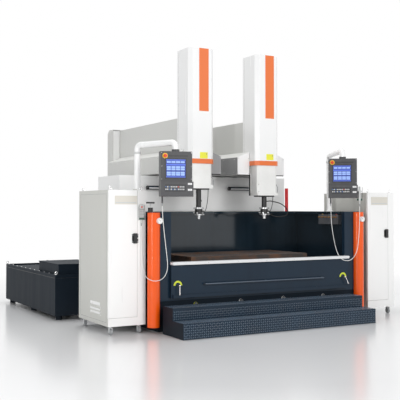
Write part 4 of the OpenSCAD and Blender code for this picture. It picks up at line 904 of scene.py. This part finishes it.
# %% Front door and drain plugs
PLUGS, PLUG_Y, SOCKET_Y = (-1.053, -0.351, 0.351, 1.053), -0.7800, -0.7940

for side, sign in SIDES.items():
    bm = bmesh.new()
    ring(bm, (sign * 1.355, DOOR_FRONT - 0.0002, 0.600), TO_FRONT, 0.062, 0.038, 0.0008, 0, 180)
    done(f"{side} latch dial", bm, "front_door", [LIME])
bm = bmesh.new()
for x in PLUGS:
    ring(bm, (x, PLUG_Y, 0.334), TO_FRONT, 0.034, 0.008, 0.0015, slot=int(x > PLUGS[0]))
done("drain plug rings", bm, "machine", [LIME, SLOT_WHITE])
bm = bmesh.new()
for x in PLUGS:
    ring(bm, (x, SOCKET_Y, 0.345), TO_FRONT, 0.012, 0.006, 0.0015)
done("drain plug sockets", bm, "machine", [STEEL])
# The black strip under the door's foot is painted shadow.
bm = bmesh.new()
block(bm, (-1.44, -0.8015, 0.440), (1.44, -0.7995, 0.447))
done("door foot shadow strip", bm, "machine", [RUBBER])
points = [((x, -0.8906, 0.885), TO_FRONT, x) for x in (-1.38, -0.92, -0.46, 0, 0.46, 0.92, 1.38)]
repeat("front door screws", "screws", points, "front_door", BRIGHT, Radius=0.0065)

# %% [markdown]
# The gauges have a white dial with ticks and a needle. The ticks come from the same tree as the
# keys, each turned to point at the middle.

# %% Gauges
GAUGES, GAUGE_Y, GAUGE_Z = {"left": -1.642, "right": 1.682}, -0.911, 1.438
TICKS, FIRST_TICK, TICK_STEP, TICK_REACH = 25, -135, 11.25, 0.0265

for side, x in GAUGES.items():
    middle = (x, GAUGE_Y, GAUGE_Z)
    bm = bmesh.new()
    ring(bm, middle, TO_FRONT, 0.0385, 0.032, 0.004)
    ring(bm, middle, TO_FRONT, 0.0315, 0.0005, 0.001, slot=1)
    rod(bm, middle, (x, GAUGE_Y - 0.0035, GAUGE_Z), 0.004, slot=2)
    needle = (Matrix.Translation((x, GAUGE_Y - 0.0023, GAUGE_Z))
              @ Matrix.Rotation(math.radians(-40), 4, "Y"))
    block(bm, (-0.0012, -0.0004, -0.006), (0.0012, 0.0004, 0.024), at=needle, slot=2)
    done(f"{side} gauge face", bm, "machine", [BRIGHT, DIAL, BLACK])
    points = []
    for k in range(TICKS):
        a = math.radians(FIRST_TICK + k * TICK_STEP)
        points.append(((x + TICK_REACH * math.sin(a), GAUGE_Y - 0.0012,
                        GAUGE_Z + TICK_REACH * math.cos(a)), TO_FRONT, a))
    repeat(f"{side} gauge ticks", "keys", points, "machine", BLACK, Width=0.0012, Height=0.005,
           Proud=0.0008)
print("gauges:", GAUGES)

# %% [markdown]
# The two control stations are alike. A dark bezel frames the lit screen, and below it the keypad
# block has two rows of small keys on the left and two pale slots on the right. The parts of the
# picture on the screen are shares of its width and height, with the number of their finish.

# %% Control stations
FACE, PAD, SCREEN_FACE, BEZEL = -0.056, -0.082, -0.0535, 0.014
SCREEN = (-0.133, 0.117, 0.235, 0.461)
SCREEN_PARTS = [((0.01, 0.99, 0.01, 0.99), 0), ((0.01, 0.99, 0.93, 0.99), 1),
                ((0.01, 0.99, 0.66, 0.75), 1), ((0.03, 0.97, 0.33, 0.36), 2),
                ((0.01, 0.99, 0.01, 0.06), 1)]
SCREEN_PARTS += [((0.04 + 0.235 * i, 0.245 + 0.235 * i, v, v + 0.10), 3) for i in range(4)
                 for v in (0.11, 0.22, 0.40, 0.52, 0.80)]
KEYS = (("pale", (0, 1, 2, 5, 6, 8, 9, 11, 12), KEY_LIGHT), ("red", (3,), KEY_RED),
        ("blue", (4, 7, 10), KEY_BLUE))

for side in SIDES:
    at, body = panel_place(side), f"{side}_panel"
    facing = at.to_3x3() @ Vector(TO_FRONT)
    x0, x1, z0, z1 = SCREEN
    bm = bmesh.new()
    for low, high in bars(x0 - BEZEL, x1 + BEZEL, z0 - BEZEL, z1 + BEZEL, BEZEL, inset=BEZEL):
        block(bm, (low[0], FACE - 0.004, low[1]), (high[0], FACE + 0.001, high[1]), at=at)
    done(f"{side} screen bezel", bm, body, [PANEL_DARK], edge=0.0012)
    bm = bmesh.new()
    w, h = x1 - x0, z1 - z0
    for k, ((u0, u1, v0, v1), colour) in enumerate(SCREEN_PARTS):
        front = SCREEN_FACE - (0.0006 if k else 0.0003)
        block(bm, (x0 + u0 * w, front, z0 + v0 * h),
              (x0 + u1 * w, SCREEN_FACE + 0.0004, z0 + v1 * h), at=at, slot=colour)
    done(f"{side} screen picture", bm, body,
         [SCREEN_PALE, SCREEN_BLUE, SCREEN_DEEP, SCREEN_WHITE])
    bm = bmesh.new()
    block(bm, (-0.100, FACE - 0.0008, 0.492), (0.150, FACE + 0.001, 0.516), at=at)
    ring(bm, at @ Vector((-0.144, FACE - 0.0001, 0.504)), facing, 0.034, 0.0215, 0.003, slot=1)
    done(f"{side} title strip", bm, body, [PANEL_DARK, STOP_YELLOW])
    bm = bmesh.new()
    block(bm, (-0.150, PAD - 0.001, 0.060), (0.118, PAD + 0.001, 0.150), at=at)
    for low in (0.073, 0.146):
        block(bm, (0.139, PAD - 0.0015, low), (0.191, PAD + 0.001, low + 0.022), at=at, slot=1)
        block(bm, (0.150, PAD - 0.003, low + 0.0095), (0.180, PAD, low + 0.0125), at=at, slot=2)
    done(f"{side} keypad plates", bm, body, [PANEL_DARK, SLOT_WHITE, BLACK], edge=0.0006)
    for colour, chosen, cap in KEYS:
        points = [(at @ Vector((-0.140 + 0.0225 * col, PAD - 0.002, 0.089 + 0.031 * row)),
                   facing, 0)
                  for row in range(2) for col in range(11) if (5 * col + 7 * row) % 13 in chosen]
        repeat(f"{side} {colour} keys", "keys", points, body, cap, Width=0.015, Height=0.017,
               Proud=0.004)
    points = [(at @ Vector((s * 0.188, FACE - 0.0008, z)), facing, z * 9)
              for s in ENDS for z in (0.215, 0.375, 0.545)]
    repeat(f"{side} panel screws", "screws", points, body, BRIGHT, Radius=0.0045)
    points = [(at @ Vector((0, 0.0562, 0.28 + 0.03 * k)), -facing, 0) for k in range(8)]
    repeat(f"{side} panel vents", "slats", points, body, PANEL_DARK, Length=0.22,
           Half_height=0.006, Proud=0.004)

# %% [markdown]
# Each handset is a pale pendant with dark edges, a red button on top, three columns of grey buttons
# and a green foot.

# %% Handsets
HANDSETS = {
    "left": ("machine", Matrix.Translation((-1.818, -0.741, 1.446))),
    "right": ("right_panel", panel_place("right") @ Matrix.Translation((0.236, -0.013, -0.043)))}

for side, (body, at) in HANDSETS.items():
    facing = at.to_3x3() @ Vector(TO_FRONT)
    bm = bmesh.new()
    block(bm, (-0.038, -0.0008, 0.006), (0.038, 0.001, 0.034), at=at)
    ring(bm, at @ Vector((0, -0.0001, 0.168)), facing, 0.010, 0.002, 0.006, slot=1)
    for x in (-0.0385, 0.0385):
        block(bm, (x - 0.002, -0.0005, 0.036), (x + 0.002, 0.001, 0.196), at=at, slot=2)
    block(bm, (-0.034, -0.0005, 0.140), (0.034, 0.001, 0.144), at=at, slot=2)
    done(f"{side} handset window", bm, body, [GREEN, STOP_RED, HANDSET_TRIM])
    points = [(at @ Vector((x, -0.0015, 0.052 + 0.0195 * row)), facing, 0)
              for row in range(5) for x in (-0.022, 0, 0.022)]
    repeat(f"{side} handset buttons", "keys", points, body, GREY_JACKET, Width=0.014,
           Height=0.010, Proud=0.004)
print("handset buttons:", len(points), "each")

# %% [markdown]
# The cabinets have bare nameplates, a backplate and a lock for each handle, a seam round each side
# panel, and louvres low on the sides and on the back.

# %% Cabinets
CABINETS = {"left": (-2.266, -1.751, -0.713, 0.327), "right": (1.857, 2.372, -0.816, 0.224)}
PLATES = {"left": (-2.181, -1.872, 1.648, 1.758), "right": (1.927, 2.250, 1.647, 1.767)}
HANDLES, LOCK_SHIFT, LOCK_Z = {"left": -1.899, "right": 2.224}, 0.033, 1.215

for side, (x0, x1, y0, y1) in CABINETS.items():
    door, x = f"{side}_cabinet_door", HANDLES[side]
    a, b, low, high = PLATES[side]
    bm = bmesh.new()
    block(bm, (a, y0 - 0.0012, low), (b, y0 + 0.001, high))
    block(bm, (a + 0.012, y0 - 0.0016, low + 0.014), (b - 0.012, y0, low + 0.030), slot=1)
    done(f"{side} nameplate", bm, door, [PLATE, HANDSET], edge=0.0004)
    bm = bmesh.new()
    block(bm, (x - 0.044, y0 - 0.001, 1.158), (x + 0.044, y0 + 0.001, 1.272))
    for u in (-0.033, 0.033):
        for z in (1.172, 1.258):
            rod(bm, (x + u, y0, z), (x + u, y0 - 0.003, z), 0.006, slot=1)
    done(f"{side} handle plate", bm, door, [BLACK, STEEL], edge=0.0006)
    bm = bmesh.new()
    rod(bm, (x + LOCK_SHIFT, y0 - 0.0005, LOCK_Z), (x + LOCK_SHIFT, y0 - 0.006, LOCK_Z), 0.008)
    done(f"{side} lock", bm, door, [BRIGHT])
    bm = bmesh.new()
    for xs in (x0, x1):
        for low, high in bars(y0 + 0.06, y1 - 0.06, 0.16, 1.782, 0.002):
            block(bm, (xs - 0.0006, *low), (xs + 0.0006, *high))
    done(f"{side} cabinet seams", bm, "machine", [CAST])
    points = [((xs, y0 + 0.437, 0.245 + 0.062 * k), (s, 0, 0), math.pi / 2)
              for s, xs in ((-1, x0), (1, x1)) for k in range(3)]
    repeat(f"{side} cabinet louvres", "slats", points, "machine", COVER_WHITE,
           slot_name="cabinet_white", Length=0.33, Half_height=0.021, Proud=0.004)
    # The rear louvres take the cabinet white darkened as painted shade.
    points = [(((x0 + x1) / 2, y1, 0.5 + 0.03 * k), TO_BACK, 0) for k in range(16)]
    repeat(f"{side} cabinet rear louvres", "slats", points, "machine", SHADED_CABINET_WHITE,
           Length=0.34, Half_height=0.006, Proud=0.005)

# %% [markdown]
# The body and the oil tank are plain boxes, so their seams, louvres and screws give them scale.

# %% Body and oil tank
REAR_SEAMS, REAR_Z = (-0.98, -0.5, 0, 0.5, 0.98), (0.5, 1.95)
LOUVRES, LOUVRE_PITCH = 10, 0.032
OIL_X, OIL_Y, OIL_TOP = (-2.404, -1.664), (0.914, 3.487), 0.649

bm = bmesh.new()
for s in ENDS:
    for low, high in bars(0.95, 1.48, 0.55, 1.603, 0.003):
        block(bm, (s * BODY_HALF - 0.0008, *low), (s * BODY_HALF + 0.0008, *high))
near, far = BODY_REAR - 0.0008, BODY_REAR + 0.0008
for x in REAR_SEAMS:
    block(bm, (x - 0.0015, near, REAR_Z[0]), (x + 0.0015, far, REAR_Z[1]))
for z in REAR_Z:
    block(bm, (REAR_SEAMS[0], near, z), (REAR_SEAMS[-1], far, z + 0.003))
done("body seams", bm, "machine", [CAST])
points = [((s * BODY_HALF, 1.215, 0.70 + LOUVRE_PITCH * k), (s, 0, 0), math.pi / 2)
          for s in ENDS for k in range(LOUVRES)]
points += [((x, BODY_REAR, 0.72 + LOUVRE_PITCH * k), TO_BACK, 0)
           for x in (-0.74, 0.74) for k in range(LOUVRES)]
repeat("body louvres", "slats", points, "machine", BODY_WHITE, slot_name="body_white", Length=0.34,
       Half_height=0.007, Proud=0.006)
points = [((s * (BODY_HALF + 0.0005), y, z), (s, 0, 0), z * 7)
          for s in ENDS for y in (0.975, 1.215, 1.455) for z in (0.575, 1.08, 1.578)]
points += [((x, BODY_REAR + 0.0005, z), TO_BACK, z)
           for x in (-0.95, -0.53, -0.47, -0.03, 0.03, 0.47, 0.53, 0.95)
           for z in (0.53, 1.22, 1.92)]
repeat("body screws", "screws", points, "machine", BRIGHT, Radius=0.007)

bm = bmesh.new()
(x0, x1), (y0, y1) = OIL_X, OIL_Y
low, high = OIL_TOP - 0.05, OIL_TOP - 0.046
for x in OIL_X:
    block(bm, (x - 0.0008, y0 + 0.02, low), (x + 0.0008, y1 - 0.02, high))
block(bm, (x0 + 0.02, y0 - 0.0008, low), (x1 - 0.02, y0 + 0.0008, high))
for y in (1.95, 2.55, 3.1):
    block(bm, (x0 + 0.05, y, OIL_TOP - 0.001), (x1 - 0.05, y + 0.004, OIL_TOP + 0.0008))
done("oil tank seams", bm, "machine", [BLACK])
points = [((x, y0 + 0.10 + 0.237 * k, OIL_TOP + 0.0008), UP, k)
          for x in (x0 + 0.025, x1 - 0.025) for k in range(11)]
repeat("oil tank screws", "screws", points, "machine", BRIGHT, Radius=0.008)

# %% [markdown]
# The flushing manifold has three coloured caps on its top. Each work lamp has a dark edge above
# and below its pale strip, and each arm has a collar round its post.

# %% Manifold, lamps and collars
CAP_X, LAMP_X, LAMP_FACE = 1.657, (0.39, 1.03), 0.7
ARM_TOPS = {"left": (-1.812, -0.587, 2.30), "right": (1.670, -0.144, 2.30)}

bm = bmesh.new()
lowest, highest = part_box("flushing_manifold")
for k in range(3):
    y = lowest.y + 0.07 + k * (highest.y - lowest.y - 0.14) / 2
    rod(bm, (CAP_X, y, highest.z - 0.001), (CAP_X, y, highest.z + 0.022), 0.016, 0.014, slot=k)
done("manifold caps", bm, "machine", [STOP_RED, KEY_BLUE, STOP_YELLOW], edge=0.001)
bm = bmesh.new()
for s in ENDS:
    a, b = sorted(s * x for x in LAMP_X)
    for z in (1.878, 1.928):
        block(bm, (a, LAMP_FACE, z), (b, LAMP_FACE + 0.05, z + 0.005))
    block(bm, (a, LAMP_FACE - 0.0015, 1.892), (b, LAMP_FACE + 0.0005, 1.908), slot=1)
done("lamp housings", bm, "machine", [BLACK, TUBE])
for side, top in ARM_TOPS.items():
    bm = bmesh.new()
    ring(bm, top, UP, 0.046, 0.0398, 0.03)
    done(f"{side} arm collar", bm, f"{side}_arm", [HANDSET], edge=0.0015)

# %% [markdown]
# The cords get their jackets here, and a tapered sleeve covers each end where it leaves a gland.

# %% Dress the cords
SLEEVE, SLEEVE_TIP = 0.0075, 0.0048
SLEEVES = {
    "left": ("machine", Matrix(), [((-1.739, -1.168, 1.663), (-1.739, -1.168, 1.627)),
                                   ((-1.818, -0.728, 1.406), (-1.818, -0.728, 1.372))]),
    "right": ("right_panel", panel_place("right"), [((-0.168, 0, -0.080), (-0.168, 0, -0.116)),
                                                    ((0.236, 0, -0.085), (0.236, 0, -0.119))])}
for side, (body, at, ends) in SLEEVES.items():
    CORDS[side].data.materials.append(JACKET)
    bm = bmesh.new()
    for foot, tip in ends:
        rod(bm, foot, tip, SLEEVE, SLEEVE_TIP, at=at)
    done(f"{side} cord sleeves", bm, body, [GREY_JACKET])
print("sleeves:", len(SLEEVES))

# %% [markdown]
# The cables of the heads, and the flushing hose of the right one, are drawn in the same way as the
# cords. Their points are in millimetres from the quill's axis, and they ride with the quill.

# %% Cables of the heads
CABLE_RADIUS, HOSE_RADIUS = 0.0045, 0.0075
LOOP = [(189, 0, 138), (196, 0, 138), (203, 0, 138), (226, 0, 128), (242, 0, 98), (246, 0, 50),
        (236, 0, 4), (219, 0, -17), (206, 0, -22), (202, 0, -22), (197, 0, -22)]
DROP_END = [(106, 0, 1555), (98, 0, 1551), (93, 0, 1551), (88, 0, 1551)]
DROPS = {"left": [(158, 0, 1869), (158, 0, 1855), (158, 0, 1840), (154, 0, 1760), (140, 0, 1660),
                  (120, 0, 1580), *DROP_END],
         "right": [(158, 0, 1774), (158, 0, 1760), (158, 0, 1745), (154, 0, 1690), (140, 0, 1620),
                   (120, 0, 1572), *DROP_END]}
HOSE = [(46, 0, 1704), (56, 0, 1704), (66, 0, 1704), (110, 8, 1708), (190, 30, 1700),
        (320, 34, 1670), (420, 34, 1610), (462, 34, 1540), (430, 34, 1490), (340, 32, 1470),
        (240, 30, 1470), (150, 20, 1492), (118, 4, 1505), (102, 0, 1506), (95, 0, 1506),
        (88, 0, 1506)]
for side, sign in SIDES.items():
    loop_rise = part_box(f"quill_{side}")[0].z + 0.044
    cables = [("loop cable", LOOP, CABLE_RADIUS, GREY_JACKET, loop_rise),
              ("drop cable", DROPS[side], CABLE_RADIUS, RUBBER, 0)]
    if side == "right":
        cables.append(("flushing hose", HOSE, HOSE_RADIUS, RUBBER, 0))
    made = []
    for name, route, radius, jacket, rise in cables:
        shift = Vector((sign * HEAD_X, CHUCK_Y, rise))
        made.append(smooth_cord(f"{side} {name}", [shift + Vector(p) / 1000 for p in route],
                                radius))
        made[-1].data.materials.append(jacket)
        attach(made[-1], f"{side}_quill")
    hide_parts(f"head_cables_{side}")

# %% [markdown]
# The floor is a wide pale sheet with a little gloss, so the machine mirrors softly in it. It fades
# into the white of the room with distance, and the shadow stays.

# %% Floor
FLOOR_RADIUS, FADE_START, FADE_END = 16, 4.5, 9.0

bm = bmesh.new()
bmesh.ops.create_circle(bm, cap_ends=True, segments=96, radius=FLOOR_RADIUS)
mesh = bpy.data.meshes.new("floor")
bm.to_mesh(mesh)
bm.free()
floor = bpy.data.objects.new("floor", mesh)
scene.collection.objects.link(floor)
floor_paint = bpy.data.materials.new("polished floor")
floor_paint.use_nodes = True
tree = floor_paint.node_tree
shade = tree.nodes["Principled BSDF"]
shade.inputs["Base Color"].default_value = (0.90, 0.90, 0.905, 1)
shade.inputs["Roughness"].default_value = 0.19
shade.inputs["Specular IOR Level"].default_value = 0.6
place = node(tree, "ShaderNodeTexCoord").outputs["Object"]
length = node(tree, "ShaderNodeVectorMath", place, settings={"operation": "LENGTH"})
fade = node(tree, "ShaderNodeMapRange", Value=length.outputs["Value"], From_Min=FADE_START,
            From_Max=FADE_END)
white = node(tree, "ShaderNodeEmission", Color=PLAIN_WHITE)
mixed = node(tree, "ShaderNodeMixShader", fade.outputs["Result"], shade.outputs[0],
             white.outputs[0])
feed(tree, tree.nodes["Material Output"].inputs["Surface"], mixed.outputs[0])
mesh.materials.append(floor_paint)
print("floor radius:", FLOOR_RADIUS, "m")
